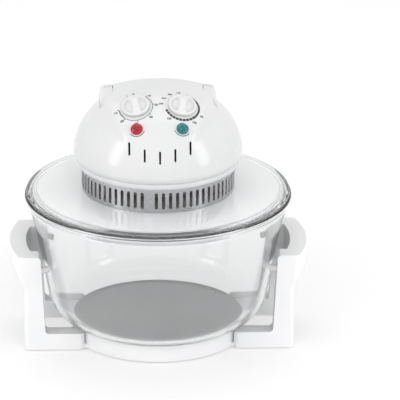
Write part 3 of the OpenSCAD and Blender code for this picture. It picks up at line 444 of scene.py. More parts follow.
# %% [markdown]
# ## Stand
#
# The stand is a low round base with a tall frame on either side. Each frame is a hollow moulding
# of two posts under a curved grip. Its shape in the frame is right, but moulded plastic has no
# knife edges: light catches on a small radius along every edge, and that is most of what makes it
# look moulded. So each frame is a welded copy with a live bevel, and the base, which is round, is
# spun from a rounded section. Its top is closed by a plate, read from the even grey that shows
# through the bowl's floor.

# %% Side frames and feet
def softened(node, material, body, width):
    """Adds a beveled copy that stands for one frame node."""
    obj = make_piece(node + "_moulded", node_copy(node), material, body, stands_for=(node,))
    add_bevel(obj, width, segments=3)


for frame_name in ("left_side_frame", "right_side_frame"):
    softened(frame_name, white_stand, "stand", width=1.1)
softened("rubber_feet", foot_rubber, "stand", width=0.4)
softened("bowl_bumpers", pale_rubber, "stand", width=0.5)

# %% Round base
SEAT_Z, PLATE_UNDER = 20.7, 17.7
RING_R, RING_IN, RING_WALL, RING_FOOT = 108, 78, 3, 1
BASE_R, CORNER_R = 94, 44
BOWL_Z = 21.0
SEAT_GAP, EDGE_GAP = 0.3, 0.4


def corner_under(r):
    """Height of the bowl's outside at radius r, in its round corner."""
    return BOWL_Z + CORNER_R - sqrt(CORNER_R ** 2 - (r - BASE_R) ** 2)


seat = [(r, corner_under(r) - SEAT_GAP) for r in range(BASE_R, RING_R, 2)]
ring_section = (
    [(0, SEAT_Z), (RING_IN, SEAT_Z)] + seat
    + [(RING_R, corner_under(RING_R) - EDGE_GAP), (RING_R, RING_FOOT),
       (RING_R - RING_WALL, RING_FOOT), (RING_R - RING_WALL, PLATE_UNDER),
       (RING_IN + RING_WALL, PLATE_UNDER), (RING_IN + RING_WALL, RING_FOOT),
       (RING_IN, RING_FOOT), (RING_IN, PLATE_UNDER), (0, PLATE_UNDER)])
make_piece(
    "base_ring_moulded", spin_line(section_line(ring_section, rounding=0.9, closed=False)),
    white_stand, "stand", stands_for=("base_ring",))

# %% [markdown]
# ## Bowl
#
# The bowl is pressed glass about 5 mm thick. Clear glass shows mainly through its edges: the
# thick rim and the round corner bend the light so far that they turn dark or bright. That needs a
# true solid with an inner and an outer wall, so the section goes up the outside and down the
# inside before it is spun. The glass is slightly grey, so that its walls show against white.

# %% Bowl section
GLASS_T = 5.0
RIM_Z, RIM_R = 186.0, 165.98
END_R, END_Z = 137.36, 57.51
LEAN, FLARE = 0.1746, 6.2
CORNER_TURN, WALL_STEPS = radians(80.2), 16


def wall_radius(z):
    """Outside of the bowl's wall at height z."""
    return END_R + LEAN * (z - END_Z) + FLARE * ((z - END_Z) / (RIM_Z - END_Z)) ** 4


def corner_arc(radius, steps=14):
    """The bowl's round corner, from its floor up to its wall."""
    turns = [CORNER_TURN * i / steps for i in range(steps + 1)]
    return [(BASE_R + radius * sin(t), BOWL_Z + CORNER_R - radius * cos(t)) for t in turns]


BEAD = 5.0
levels = [END_Z + (RIM_Z - BEAD - END_Z) * i / WALL_STEPS for i in range(1, WALL_STEPS + 1)]
outside = [(0, BOWL_Z)] + corner_arc(CORNER_R) + [(wall_radius(z), z) for z in levels]
bead = [
    (RIM_R - 0.5, RIM_Z - 3.6), (RIM_R, RIM_Z - 2.6), (RIM_R, RIM_Z - 1.6),
    (RIM_R - 0.5, RIM_Z - 0.5), (RIM_R - 1.6, RIM_Z), (RIM_R - 5.4, RIM_Z),
    (RIM_R - 7.0, RIM_Z - 0.6), (RIM_R - 8.0, RIM_Z - 2.0)]
inside = [
    (wall_radius(z) - GLASS_T, z) for z in reversed(levels)] + corner_arc(CORNER_R - GLASS_T)[::-1]
bowl_section = outside + bead + inside + [(0, BOWL_Z + GLASS_T)]
make_piece(
    "bowl_blown", spin_line(section_line(bowl_section, closed=False), steps=192), clear_glass,
    "bowl", stands_for=("glass_bowl",), sharp=60)

# %% [markdown]
# ## Lid
#
# The lid is a shallow sheet of glass that carries the head. Near its edge a lip hangs down into
# the bowl and keeps it in the middle; seen from above, that lip is the dark line that runs inside
# the rim. Sheet and lip are one piece of glass, so they are one section. The sheet is milky, and
# its pressed edge is clear, so the edge takes the bowl's glass as a second finish.

# %% Lid section
LID_R, FLAT_R, HOLE_R = 164.0, 98.1, 84.1
LID_UNDER, LID_T, LID_SAG = 190.5, 4.0, 4.2
EDGE_START, LIP_OUT, LIP_IN, BELOW_TO = 160.5, 157.2, 150.8, 150


def lid_under(r):
    """Height of the lid's underside, which falls towards its edge."""
    return LID_UNDER - LID_SAG * max(0, (r - FLAT_R) / (LID_R - FLAT_R)) ** 2


radii = [FLAT_R + (EDGE_START - FLAT_R) * i / 12 for i in range(13)]
top = [(HOLE_R, LID_UNDER + LID_T)] + [(r, lid_under(r) + LID_T) for r in radii]
edge = [
    (162.4, 190.3), (163.6, 189.6), (164.0, 188.4), (163.9, 187.3), (163.2, 186.5), (162.0, 186.3)]
lip = [
    (LIP_OUT, lid_under(LIP_OUT)), (156.2, 186.4), (155.8, 184.0), (155.2, 182.6), (154.2, 182.3),
    (153.0, 182.5), (152.2, 183.6), (151.8, 185.6), (LIP_IN, lid_under(LIP_IN))]
below = [(r, lid_under(r)) for r in reversed(radii) if r < BELOW_TO]
lid_section = top + edge + lip + below + [(HOLE_R, LID_UNDER)]
lid = make_piece(
    "lid_pressed", spin_line(section_line(lid_section), steps=192), lid_sheet, "head",
    stands_for=("glass_lid",), sharp=60)
lid.data.materials.append(clear_glass)
CLEAR_FROM = 149.0
for face in lid.data.polygons:
    if Vector(face.center[:2]).length > CLEAR_FROM * MM:
        face.material_index = 1

# %% [markdown]
# ## Slotted ring
#
# Hot air leaves the head through a ring of punched sheet steel. One place is left without a slot,
# where the two ends of the sheet meet. Every place is the same, so one flat place is made with its
# round-ended slot, bent to the ring's radius, and repeated about the axis. The sheet gets its
# thickness afterwards, and a small bevel stands for the rounded edge that punching leaves.

# %% One place of the ring
VENT_R, VENT_Z, VENT_H = 95.1, 194.5, 30.5
PLACES, SLOT_W, SLOT_H, SHEET_T = 68, 4.0, 21.0, 0.8
PLACE_TURN = 2 * pi / PLACES
SEAM_TURN = radians(262)


def flat_outline(bm, width, height, middle, rounding=0.0, segments=6):
    """A rectangle of edges standing in the XZ plane, with round corners if asked."""
    made = bmesh.ops.create_grid(bm, x_segments=1, y_segments=1, size=0.5)
    corners = made["verts"]
    bmesh.ops.delete(
        bm, geom=list({f for v in corners for f in v.link_faces}), context="FACES_ONLY")
    bmesh.ops.scale(bm, vec=(width * MM, height * MM, 1), verts=corners)
    bmesh.ops.rotate(bm, cent=(0, 0, 0), matrix=Matrix.Rotation(pi / 2, 3, "X"), verts=corners)
    bmesh.ops.translate(bm, vec=(0, 0, middle * MM), verts=corners)
    if rounding:
        bmesh.ops.bevel(
            bm, geom=corners, offset=rounding * MM, offset_type="OFFSET", affect="VERTICES",
            segments=segments, profile=0.5, material=-1)


def vent_place(with_slot):
    """One place of the ring, bent to its radius at the angle of the seam."""
    bm = bmesh.new()
    flat_outline(bm, VENT_R * PLACE_TURN, VENT_H, VENT_Z + VENT_H / 2)
    level = [e for e in bm.edges if abs(e.verts[0].co.z - e.verts[1].co.z) < 1e-6]
    bmesh.ops.subdivide_edges(bm, edges=level, cuts=3)
    if with_slot:
        flat_outline(bm, SLOT_W, SLOT_H, VENT_Z + VENT_H / 2, rounding=SLOT_W / 2 - 0.01)
        bmesh.ops.remove_doubles(bm, verts=bm.verts, dist=2e-5)
    bmesh.ops.triangle_fill(bm, edges=bm.edges[:], use_beauty=True)
    for v in bm.verts:
        turn = SEAM_TURN + v.co.x / (VENT_R * MM)
        v.co.x, v.co.y = VENT_R * MM * cos(turn), VENT_R * MM * sin(turn)
    return bm


# %% The whole ring
vent = vent_place(with_slot=True)
turn_z(vent, PLACE_TURN, vent.verts)
bmesh.ops.spin(
    vent, geom=vent.verts[:] + vent.edges[:] + vent.faces[:], cent=(0, 0, 0), axis=(0, 0, 1),
    angle=PLACE_TURN * (PLACES - 2), steps=PLACES - 2, use_duplicate=True)
add_shape(vent, vent_place(with_slot=False))
bmesh.ops.remove_doubles(vent, verts=vent.verts, dist=2e-5)
for face in vent.faces:
    if face.normal.dot(face.calc_center_median() * Vector((1, 1, 0))) < 0:
        face.normal_flip()
bmesh.ops.solidify(vent, geom=vent.faces[:], thickness=SHEET_T * MM)
vent_piece = make_piece(
    "slotted_ring", vent, slotted_steel, "head", stands_for=("vent_ring",), sharp=50)
add_bevel(vent_piece, 0.22, 2, 60)

# %% [markdown]
# ## Collar
#
# Between the steel ring and the dome sits a plain white collar. It is a round moulding with a
# rolled lower edge and a soft shoulder, and the groove above it makes the dark line under the
# dome. It is spun like the base ring.

# %% Collar
COLLAR_Z, DOME_EDGE_Z = 225.0, 234.3
collar_section = [
    (88.0, COLLAR_Z), (97.2, COLLAR_Z), (99.2, COLLAR_Z + 1.4), (100.6, COLLAR_Z + 4.0),
    (101.0, COLLAR_Z + 6.4), (100.5, COLLAR_Z + 8.4), (99.4, DOME_EDGE_Z - 0.1),
    (98.9, DOME_EDGE_Z - 0.1), (98.9, DOME_EDGE_Z + 4.6), (96.0, DOME_EDGE_Z + 4.6),
    (92.9, COLLAR_Z + 4), (92.9, COLLAR_Z + 1), (88.0, COLLAR_Z + 1)]
make_piece(
    "collar_moulded", spin_line(section_line(collar_section, rounding=0.7), steps=192), white_head_painted_shade,
    "head", stands_for=("head_collar",), sharp=50)

# %% [markdown]
# ## Dome and control panel
#
# The head's cover is one glossy white shell: a dome whose front and top are pressed out into a
# flatter panel for the controls. Two overlapping pieces would leave a hard seam, so the dome is
# spun with fine steps at the front, and its points are lifted to the panel's height inside the
# panel's outline. A soft ramp between the two heights gives the flank that catches the light. The
# panel ends at the handle's round ends, so that they make its outer corners.

# %% The dome's and the panel's heights
DOME_R, DOME_RISE, DOME_Z = 105.0, 84.0, 242.0
CROWN_Y, CROWN_X_R, CROWN_Y_R, CROWN_RISE = 15.0, 140.0, 120.0, 88.98
PANEL_FRONT, PANEL_BACK, PANEL_SIDE = -86.0, 18.0, 71.0
PANEL_NARROW, PANEL_WIDEN = 35, 41
BULGE, BULGE_HALF = 5, 38
FLANK, FLANK_OUT, FLANK_SLOPE = 5.0, 1.5, 0.8
SHELL_T, COVER_SHARP = 2.5, 38
INSIDE_DOME = Vector((0, 0, 0.2))
POCKET_IN, POCKET_OUT, PIVOT_Y, PIVOT_Z, POCKET_R = 55.5, 72.2, 3.0, 308.0, 16.7


def dome_height(x, y):
    """Height of the round dome."""
    return DOME_Z + DOME_RISE * sqrt(max(0.0, 1 - (x * x + y * y) / DOME_R ** 2))


def crown_height(x, y):
    """Height of the wider, flatter crown that the panel follows."""
    return DOME_Z + CROWN_RISE * sqrt(
        max(0.0, 1 - (x / CROWN_X_R) ** 2 - ((y - CROWN_Y) / CROWN_Y_R) ** 2))


def soft_step(t):
    """Runs from 0 to 1, level at both ends."""
    t = min(1.0, max(0.0, t))
    return t * t * (3 - 2 * t)


def soft_max(a, b, width):
    """The larger of two heights, with the crease between them rounded."""
    gap = max(width - abs(a - b), 0) / width
    return max(a, b) + gap * gap * width / 4


def panel_half(y):
    """Half the panel's width; its front corners are rounded off."""
    return PANEL_NARROW + PANEL_WIDEN * sqrt(
        max(0.0, (y - PANEL_FRONT) / (PANEL_BACK - PANEL_FRONT)))


def panel_front_at(x):
    """The panel's front edge, which bulges in the middle."""
    if abs(x) < BULGE_HALF:
        return PANEL_FRONT - BULGE * (1 - (x / BULGE_HALF) ** 2)
    return PANEL_FRONT


def cover_height(x, y):
    """Height of the shell's outside above a point."""
    low = dome_height(x, y)
    high = soft_max(crown_height(x, y), low + 0.6, 1.0)
    side = (min(panel_half(y), PANEL_SIDE) - abs(x)) * FLANK_SLOPE
    front = (y - panel_front_at(x)) * FLANK_SLOPE
    back = PANEL_BACK - y
    inside = min(side, front, back)
    return low + (high - low) * soft_step((inside + FLANK_OUT) / FLANK)


print("panel stands", round(cover_height(0, 0) - dome_height(0, 0), 2), "mm above the dome's top")

# %% Spin the shell, finely where the panel is
DOME_EDGE_R, SKIRT_RISE = 101.7, 7.7 / sin(radians(14.4))
shell_line = [(DOME_EDGE_R, DOME_EDGE_Z)]
shell_line += [(DOME_R * cos(radians(t)), DOME_Z + SKIRT_RISE * sin(radians(t))) for t in (-10, -5)]
RINGS = 104
shell_line += [
    (DOME_R * cos(pi / 2 * i / RINGS), DOME_Z + DOME_RISE * sin(pi / 2 * i / RINGS))
    for i in range(RINGS)]
shell_line.append((0, DOME_Z + DOME_RISE))


def sector(points, first, last, steps):
    """Part of the spun shell between two angles."""
    bm = section_line(points, closed=False)
    turn_z(bm, radians(first), bm.verts)
    return spin_line(bm, steps, radians(last - first))


shell = sector(shell_line, -195, 15, 280)
add_shape(shell, sector(shell_line, 15, 165, 60))
bmesh.ops.remove_doubles(shell, verts=shell.verts, dist=1e-5)
for v in shell.verts:
    x, y, z = v.co / MM
    if z > DOME_Z + 1:
        v.co.z += (cover_height(x, y) - dome_height(x, y)) * MM
for face in shell.faces:
    if face.normal.dot(face.calc_center_median() - INSIDE_DOME) < 0:
        face.normal_flip()
rim_edges = [e for e in shell.edges if e.is_boundary]
bmesh.ops.solidify(shell, geom=shell.faces[:], thickness=SHELL_T * MM)
print("shell:", len(shell.faces), "faces, open rim of", len(rim_edges), "edges")

# %% Cutters for the air slots and the handle's pockets
AIR_PITCH, AIR_W, AIR_H = 18.7, 2.4, 15.0
AIR_RISE, AIR_CURVE = 26, 2.07
AIR_FRONT, AIR_DEPTH = -0.110, 0.050
INLET_PLACE, INLET_SIZE = (0, 0.100, 0.250), (0.0301, 0.03, 0.0201)


def cutter_piece(name, bm):
    """A helper solid that cuts the shell and isn't shown."""
    bmesh.ops.recalc_face_normals(bm, faces=bm.faces)
    mesh = bpy.data.meshes.new(name)
    bm.to_mesh(mesh)
    bm.free()
    return bpy.data.objects.new(name, mesh)


air = bmesh.new()
for i in (-2, -1, 0, 1, 2):
    before = set(air.verts)
    flat_outline(
        air, AIR_W, AIR_H, DOME_Z + AIR_RISE + AIR_CURVE * i * i, rounding=AIR_W / 2 - 0.01)
    made = [v for v in air.verts if v not in before]
    bmesh.ops.translate(air, vec=(i * AIR_PITCH * MM, AIR_FRONT, 0), verts=made)
    face = bmesh.ops.contextual_create(
        air, geom=list({e for v in made for e in v.link_edges}))["faces"]
    grown = bmesh.ops.extrude_face_region(air, geom=face)
    bmesh.ops.translate(
        air, vec=(0, AIR_DEPTH, 0),
        verts=[g for g in grown["geom"] if isinstance(g, bmesh.types.BMVert)])
air_cutter = cutter_piece("air_cutter", air)

pockets = bmesh.new()
for side in (-1, 1):
    place = Matrix.Translation(
        (side * (POCKET_IN + POCKET_OUT) / 2 * MM, PIVOT_Y * MM, PIVOT_Z * MM))
    bmesh.ops.create_cone(
        pockets, cap_ends=True, segments=96, radius1=POCKET_R * MM, radius2=POCKET_R * MM,
        depth=(POCKET_OUT - POCKET_IN) * MM, matrix=place @ Matrix.Rotation(pi / 2, 4, "Y"))
pocket_cutter = cutter_piece("pocket_cutter", pockets)

inlet_hole = bmesh.new()
bmesh.ops.create_cube(
    inlet_hole, size=1.0,
    matrix=Matrix.Translation(INLET_PLACE) @ Matrix.Diagonal((*INLET_SIZE, 1)))
inlet_cutter = cutter_piece("inlet_cutter", inlet_hole)

# %% Cut the shell and keep the result
cover = make_piece(
    "cover_shell", shell, white_head_painted_shade, "head",
    stands_for=("head_cover", "control_panel"), sharp=COVER_SHARP)
for cutter in (air_cutter, pocket_cutter, inlet_cutter):
    bpy.context.collection.objects.link(cutter)
    cut = cover.modifiers.new(cutter.name, "BOOLEAN")
    cut.object, cut.operation, cut.solver = cutter, "DIFFERENCE", "EXACT"
bpy.context.view_layer.update()
cut_mesh = bpy.data.meshes.new_from_object(
    cover.evaluated_get(bpy.context.evaluated_depsgraph_get()))
cover.modifiers.clear()
cover.data = cut_mesh
for cutter in (air_cutter, pocket_cutter, inlet_cutter):
    bpy.data.objects.remove(cutter)
cut_mesh.shade_smooth()
cut_mesh.set_sharp_from_angle(angle=radians(COVER_SHARP))
print("cover after cutting:", len(cut_mesh.polygons), "faces")

# %% [markdown]
# ## Knobs
#
# Each knob is a white disc with a grip bar across it and a scoop for a fingertip on either side of
# the bar. Cutting scoops out of a cylinder would leave sharp lips. The real knob is low and flows
# from bar to scoop to rim, so a finely ringed disc is spun first, and the height of each point of
# its top is then set from the bar's, the scoops' and the rim's shape.

# %% Knob shape
KNOB_R, KNOB_H, KNOB_LIFT = 17.5, 7.5, 0.9
KNOB_X, KNOB_Y = 28.5, -47.0
KNOB_EDGE, BAR_HALF, BAR_FLARE = 0.6, 2.5, 1.9
CROWN_DROP, SCOOP_DROP, RIM_DROP = 3.3, 4.9, 0.5
SCOOP_RAMP, RIM_BAND, RIM_RAMP = 4.6, 1.6, 4.0


def knob_top(u, v):
    """Height of the knob's top at (u, v); the grip bar runs along v."""
    r = min(1.0, sqrt(u * u + v * v) / (KNOB_R - KNOB_EDGE))
    crown = KNOB_H - CROWN_DROP * r ** 3
    bar_half = BAR_HALF + BAR_FLARE * (v / KNOB_R) ** 2
    beside_bar = soft_step((abs(u) - bar_half) / SCOOP_RAMP)
    inside_rim = soft_step((KNOB_R - RIM_BAND - r * (KNOB_R - KNOB_EDGE)) / RIM_RAMP)
    return crown - SCOOP_DROP * beside_bar * inside_rim - RIM_DROP * beside_bar * (1 - inside_rim)


def knob_bmesh():
    """A finely ringed disc, its top set to the knob's height."""
    rings = [(KNOB_R - KNOB_EDGE - (KNOB_R - KNOB_EDGE) * i / 44, KNOB_H) for i in range(45)]
    line = [
        (0, KNOB_LIFT), (KNOB_R - 1.0, KNOB_LIFT), (KNOB_R - 0.3, KNOB_LIFT + 0.2),
        (KNOB_R, KNOB_LIFT + 0.9), (KNOB_R - 0.05, 2.2), (KNOB_R - 0.2, 3.2)]
    bm = spin_line(section_line(line + rings, closed=False), steps=128)
    for v in bm.verts:
        u, w, z = v.co / MM
        if z > KNOB_H - 0.2:
            v.co.z = knob_top(u, w) * MM
    return bm


def panel_frame(x, y):
    """Matrix that stands a piece square on the panel at (x, y), its +Y up the panel."""
    rise = crown_height(x, y) - DOME_Z
    normal = Vector((x / CROWN_X_R ** 2, (y - CROWN_Y) / CROWN_Y_R ** 2, rise / CROWN_RISE ** 2))
    normal.normalize()
    up = Vector((0, 1, 0))
    up = (up - normal * up.dot(normal)).normalized()
    across = up.cross(normal)
    turn = Matrix((across, up, normal)).transposed().to_4x4()
    return Matrix.Translation(Vector((x, y, crown_height(x, y))) * MM) @ turn


for name, x, tilt in (("timer", -KNOB_X, radians(4)), ("thermostat", KNOB_X, radians(-3))):
    knob = knob_bmesh()
    bmesh.ops.transform(
        knob, matrix=panel_frame(x, KNOB_Y) @ Matrix.Rotation(tilt, 4, "Z"), verts=knob.verts)
    make_piece(
        name + "_dial", knob, white_knob_painted_shade, name + "_dial",
        stands_for=(name + "_knob",), sharp=50)

# %% [markdown]
# ## Printing on the panel
#
# Rings, ticks and numbers are printed straight on the shell. They could be painted by a texture,
# but thin flat shapes laid a fifth of a millimetre above the surface stay crisp at any distance.
# Each mark is drawn flat, then every one of its points is dropped onto the panel. The only words
# are plain dial numbers.

# %% Print helpers
print_black = moulding(
    "black print", (0.012, 0.012, 0.013), (0.03, 0.03, 0.032), roughness=0.35, marks=0.15,
    relief=0.02)
PRINT_RISE, DIAL_R = 0.2, 20.9


def drop_on_panel(bm, x, y):
    """Moves flat points (u, v, 0) around a place on the panel down onto its surface."""
    stand = panel_frame(x, y)
    for v in bm.verts:
        p = stand @ v.co / MM
        v.co = Vector((p.x, p.y, cover_height(p.x, p.y) + PRINT_RISE)) * MM


def arc_band(bm, radius, width, first, last, steps=48):
    """A flat band from angle first to last, in degrees from the panel's up direction, clockwise."""
    start = bm.verts.new(((radius - width / 2) * MM, 0, 0))
    end = bm.verts.new(((radius + width / 2) * MM, 0, 0))
    edge = bm.edges.new((start, end))
    turn_z(bm, radians(90 - first), [start, end])
    bmesh.ops.spin(
        bm, geom=[start, end, edge], cent=(0, 0, 0), axis=(0, 0, 1), angle=-radians(last - first),
        steps=steps, use_merge=False)


def tick(bm, inner, outer, width, at):
    """A short bar that points at the knob's middle."""
    before = set(bm.verts)
    bmesh.ops.create_grid(bm, x_segments=1, y_segments=4, size=0.5)
    made = [v for v in bm.verts if v not in before]
    bmesh.ops.scale(bm, vec=(width * MM, (outer - inner) * MM, 1), verts=made)
    bmesh.ops.translate(bm, vec=(0, (inner + outer) / 2 * MM, 0), verts=made)
    turn_z(bm, -radians(at), made)


def add_label(bm, words, radius, at, height):
    """Upright dial numbers whose middle lies at an angle and radius."""
    curve = bpy.data.curves.new("label", "FONT")
    curve.body, curve.size, curve.align_x, curve.align_y = words, height * MM, "CENTER", "CENTER"
    curve.offset = 0.13 * MM
    obj = bpy.data.objects.new("label", curve)
    bpy.context.collection.objects.link(obj)
    bpy.context.view_layer.update()
    flat = bpy.data.meshes.new_from_object(obj)
    bpy.data.objects.remove(obj)
    before = set(bm.verts)
    bm.from_mesh(flat)
    made = [v for v in bm.verts if v not in before]
    bmesh.ops.translate(
        bm, vec=(radius * sin(radians(at)) * MM, radius * cos(radians(at)) * MM, 0), verts=made)


# %% Marks round the timer
marks = bmesh.new()
arc_band(marks, DIAL_R, 0.6, 20, 270)
for at in range(40, 271, 46):
    tick(marks, DIAL_R, 23.2, 0.75, at)
for at in (232, 240, 248, 256, 264):
    tick(marks, 19.5, 21.1, 1.2, at)
for words, at in (
        ("0", 358), ("10", 45), ("20", 90), ("30", 138), ("40", 184), ("50", 226), ("60", 262)):
    add_label(marks, words, 25.6, at, 4.4)
tick(marks, 22.6, 26.6, 0.5, 340)
drop_on_panel(marks, -KNOB_X, KNOB_Y)
make_piece("timer_marks", marks, print_black, "head")

# %% Marks round the thermostat
scale_marks = bmesh.new()
arc_band(scale_marks, DIAL_R, 1.0, 0, 20, 8)
arc_band(scale_marks, DIAL_R, 2.3, 20, 130, 40)
for first in range(130, 250, 12):
    arc_band(scale_marks, DIAL_R, 3.0, first, first + 10.2, 5)
for words, at in (
        ("250", 274), ("225", 298), ("200", 322), ("175", 347), ("65", 112), ("100", 143),
        ("125", 178), ("150", 216)):
    add_label(scale_marks, words, 26.4, at, 3.6)
tick(scale_marks, 22.4, 26.2, 0.5, 12)
drop_on_panel(scale_marks, KNOB_X, KNOB_Y)
make_piece("thermostat_marks", scale_marks, print_black, "head")

# %% Thin arcs under the lamps
LENS_X, LENS_Y = 28.0, -76.0
for side, name in ((-1, "red"), (1, "green")):
    under = bmesh.new()
    arc_band(under, 10.4, 0.8, 122, 238, 24)
    drop_on_panel(under, side * LENS_X, LENS_Y + 1)
    make_piece(name + "_lamp_arc", under, print_black, "head")

# %% [markdown]
# ## Indicator lenses
#
# Two small domed lenses show that the oven is on and that it heats. A lens is coloured plastic
# with a ribbed back that sparkles, so the dome is clear and glossy. The colour under it is painted
# in fine cells, bright in the middle and deep at the edge: painted sparkle for the ribbed back.
# Spinning a quarter circle gives the dome.

# %% Lens finish and shape
def lens_finish(name, bright, deep):
    """Coloured plastic with painted sparkle: fine cells, bright in the middle, deep at the edge."""
    material, tree, shader, place = new_finish(
        name, Specular_IOR_Level=0.35, Coat_Weight=0.35, Coat_Roughness=0.04,
        Transmission_Weight=0.0)
    cells = put(tree, "ShaderNodeTexVoronoi", Scale=420.0)
    tree.links.new(place, cells.inputs["Vector"])
    # Painted sparkle: each cell is painted bright in its middle and deep towards its edge.
    painted_rib_sparkle = spread(tree, cells.outputs["Distance"], 0.1, 0.75)
    tree.links.new(blend_colours(tree, painted_rib_sparkle, (*bright, 1), (*deep, 1)), shader.inputs["Base Color"])
    surface = use_group(tree, skin, place, Roughness=0.08, Marks=0.05, Grain=300.0)
    tree.links.new(surface.outputs["Roughness"], shader.inputs["Roughness"])
    use_height(tree, shader, cells.outputs["Distance"], 0.5, 0.0006)
    return material


LENS_R = 7.5
for side, name, bright, deep in ((-1, "red", (0.62, 0.006, 0.005), (0.22, 0.001, 0.001)),
                                 (1, "green", (0.004, 0.27, 0.24), (0.001, 0.10, 0.10))):
    dome = [(LENS_R * cos(radians(t)), 1.2 + 3.0 * sin(radians(t))) for t in range(0, 91, 6)]
    lens = spin_line(
        section_line([(0, -7.5), (LENS_R - 0.4, -7.5), (LENS_R, 0.6)] + dome, closed=False),
        steps=64)
    bmesh.ops.transform(lens, matrix=panel_frame(side * LENS_X, LENS_Y), verts=lens.verts)
    make_piece(
        name + "_lens_dome", lens, lens_finish(name + " lens", bright, deep), "head",
        stands_for=(name + "_lens",), sharp=50)

# %% [markdown]
# ## Carry handle
#
# A folding handle lies behind the dome and swings up to carry the head. It is one moulding: two
# round ends that fill the pockets beside the panel, two arms that hug the dome, and a bar across
# the back. The copy's round ends are cut into strips across, and their tops are raised or lowered
# to the panel's own curve, so that they lie flush with it when the handle is down. Each end's outer
# corner is rounded off, as it carries on into the dome's side.

# %% Handle and inlet
HUB_IN, HUB_OUT, HUB_R, HUB_CORNER, FLUSH_GAP = 56.2, 72.0, 16.5, 7.0, 0.25
ARM_LINE = [(11.0, 313.5), (40.0, 307.7), (122.0, 268.0)]
ARM_EDGE = 5.0


def arm_middle(y):
    """Height of the arm's middle line at a distance behind the panel."""
    for (y0, z0), (y1, z1) in zip(ARM_LINE, ARM_LINE[1:]):
        if y < y1:
            return z0 + (z1 - z0) * max(0.0, y - y0) / (y1 - y0)
    return ARM_LINE[-1][1]


hub_flat_z = crown_height((HUB_IN + HUB_OUT) / 2, PIVOT_Y) - 0.2
handle_shape = node_copy("carry_handle")
cuts = [side * (HUB_IN + (HUB_OUT - HUB_IN) * i / 8) for i in range(1, 8) for side in (-1, 1)]
for x in cuts:
    bmesh.ops.bisect_plane(
        handle_shape, geom=handle_shape.verts[:] + handle_shape.edges[:] + handle_shape.faces[:],
        plane_co=(x * MM, 0, 0), plane_no=(1, 0, 0), dist=1e-6)
for v in handle_shape.verts:
    x, y, z = v.co / MM
    past = min(HUB_CORNER, max(0.0, abs(x) - (HUB_OUT - HUB_CORNER)))
    corner_drop = HUB_CORNER - sqrt(HUB_CORNER ** 2 - past ** 2)
    flush = crown_height(x, y) - FLUSH_GAP - corner_drop
    in_hub = abs(x) > HUB_IN - 0.1 and abs(y - PIVOT_Y) < HUB_R + 0.1
    if in_hub and (z > hub_flat_z - 0.1 or z > flush):
        v.co.z = flush * MM
    elif abs(x) > HUB_IN and z > arm_middle(y):
        v.co.z -= corner_drop * min(1.0, (z - arm_middle(y)) / ARM_EDGE) * MM
handle_piece = make_piece(
    "carry_handle_moulded", handle_shape, white_head_painted_shade, "handle",
    stands_for=("carry_handle",))
add_bevel(handle_piece, 0.8, 3)
softened("power_inlet", black_moulding, "head", width=0.6)

# %% [markdown]
# ## Heater behind the glass
#
# The heater hangs under the lid and shows through the bowl from low angles: a spun aluminium pan,
# a quartz tube with its filament, and a wire guard. The guard's rings are real round wire, so each
# is a small circle spun about the oven's axis instead of the square bars that the frame uses.

# %% Pan
PAN_ROOF, PAN_LOW, PAN_R = 189.0, 165.0, 84.0
pan_section = [
    (8, PAN_ROOF - 0.8), (8, PAN_ROOF), (92.4, PAN_ROOF), (92.4, PAN_ROOF - 0.8),
    (PAN_R, PAN_ROOF - 0.8), (82.6, PAN_LOW + 3), (81.2, PAN_LOW), (77, PAN_LOW),
    (77, PAN_LOW + 0.8), (80.4, PAN_LOW + 0.8), (81.7, PAN_LOW + 3.2),
    (PAN_R - 0.8, PAN_ROOF - 0.8)]
make_piece(
    "heater_pan_spun", spin_line(section_line(pan_section, rounding=0.3, segments=2)), bright_pan,
    "head", stands_for=("heater_pan",), sharp=50)

# %% Guard
WIRE_R, GUARD_Z = 1.15, PAN_LOW + 2.0
BAR_MIDDLE, BAR_LENGTH, BAR_THIN = 44.7, 66.5, 0.9
guard = bmesh.new()
for radius in (11.5, 23, 34.5, 46, 57.5, 69, 78):
    ring = bmesh.new()
    bmesh.ops.create_circle(
        ring, segments=10, radius=WIRE_R * MM,
        matrix=Matrix.Translation((radius * MM, 0, GUARD_Z * MM)) @ Matrix.Rotation(pi / 2, 4, "X"))
    add_shape(guard, spin_line(ring, steps=96))
for i in range(6):
    turn = Matrix.Rotation(pi / 3 * i, 4, "Z")
    rod_place = turn @ Matrix.Translation(
        (BAR_MIDDLE * MM, 0, (GUARD_Z + 0.3) * MM)) @ Matrix.Rotation(pi / 2, 4, "Y")
    bmesh.ops.create_cone(
        guard, cap_ends=True, segments=10, radius1=WIRE_R * BAR_THIN * MM,
        radius2=WIRE_R * BAR_THIN * MM, depth=BAR_LENGTH * MM, matrix=rod_place)
make_piece(
    "guard_wires", guard, plated_wire, "head", stands_for=("grille_guard",), sharp=60)

# %% Halogen tube and its filament
TUBE_R, TUBE_RING, TUBE_Z = 5.0, 62.0, 176.0
TUBE_GAP = radians(50)
FILAMENT_R, FILAMENT_INSET = 0.9, 0.08


def part_ring(radius, start, turn, steps, segments):
    """A round rod bent about the oven's axis, with closed ends."""
    bm = bmesh.new()
    bmesh.ops.create_circle(
        bm, segments=segments, radius=radius * MM, cap_ends=True,
        matrix=Matrix.Rotation(start, 4, "Z") @ Matrix.Translation((TUBE_RING * MM, 0, TUBE_Z * MM))
        @ Matrix.Rotation(pi / 2, 4, "X"))
    bmesh.ops.spin(
        bm, geom=bm.verts[:] + bm.edges[:] + bm.faces[:], cent=(0, 0, 0), axis=(0, 0, 1),
        angle=turn, steps=steps)
    bmesh.ops.recalc_face_normals(bm, faces=bm.faces)
    return bm


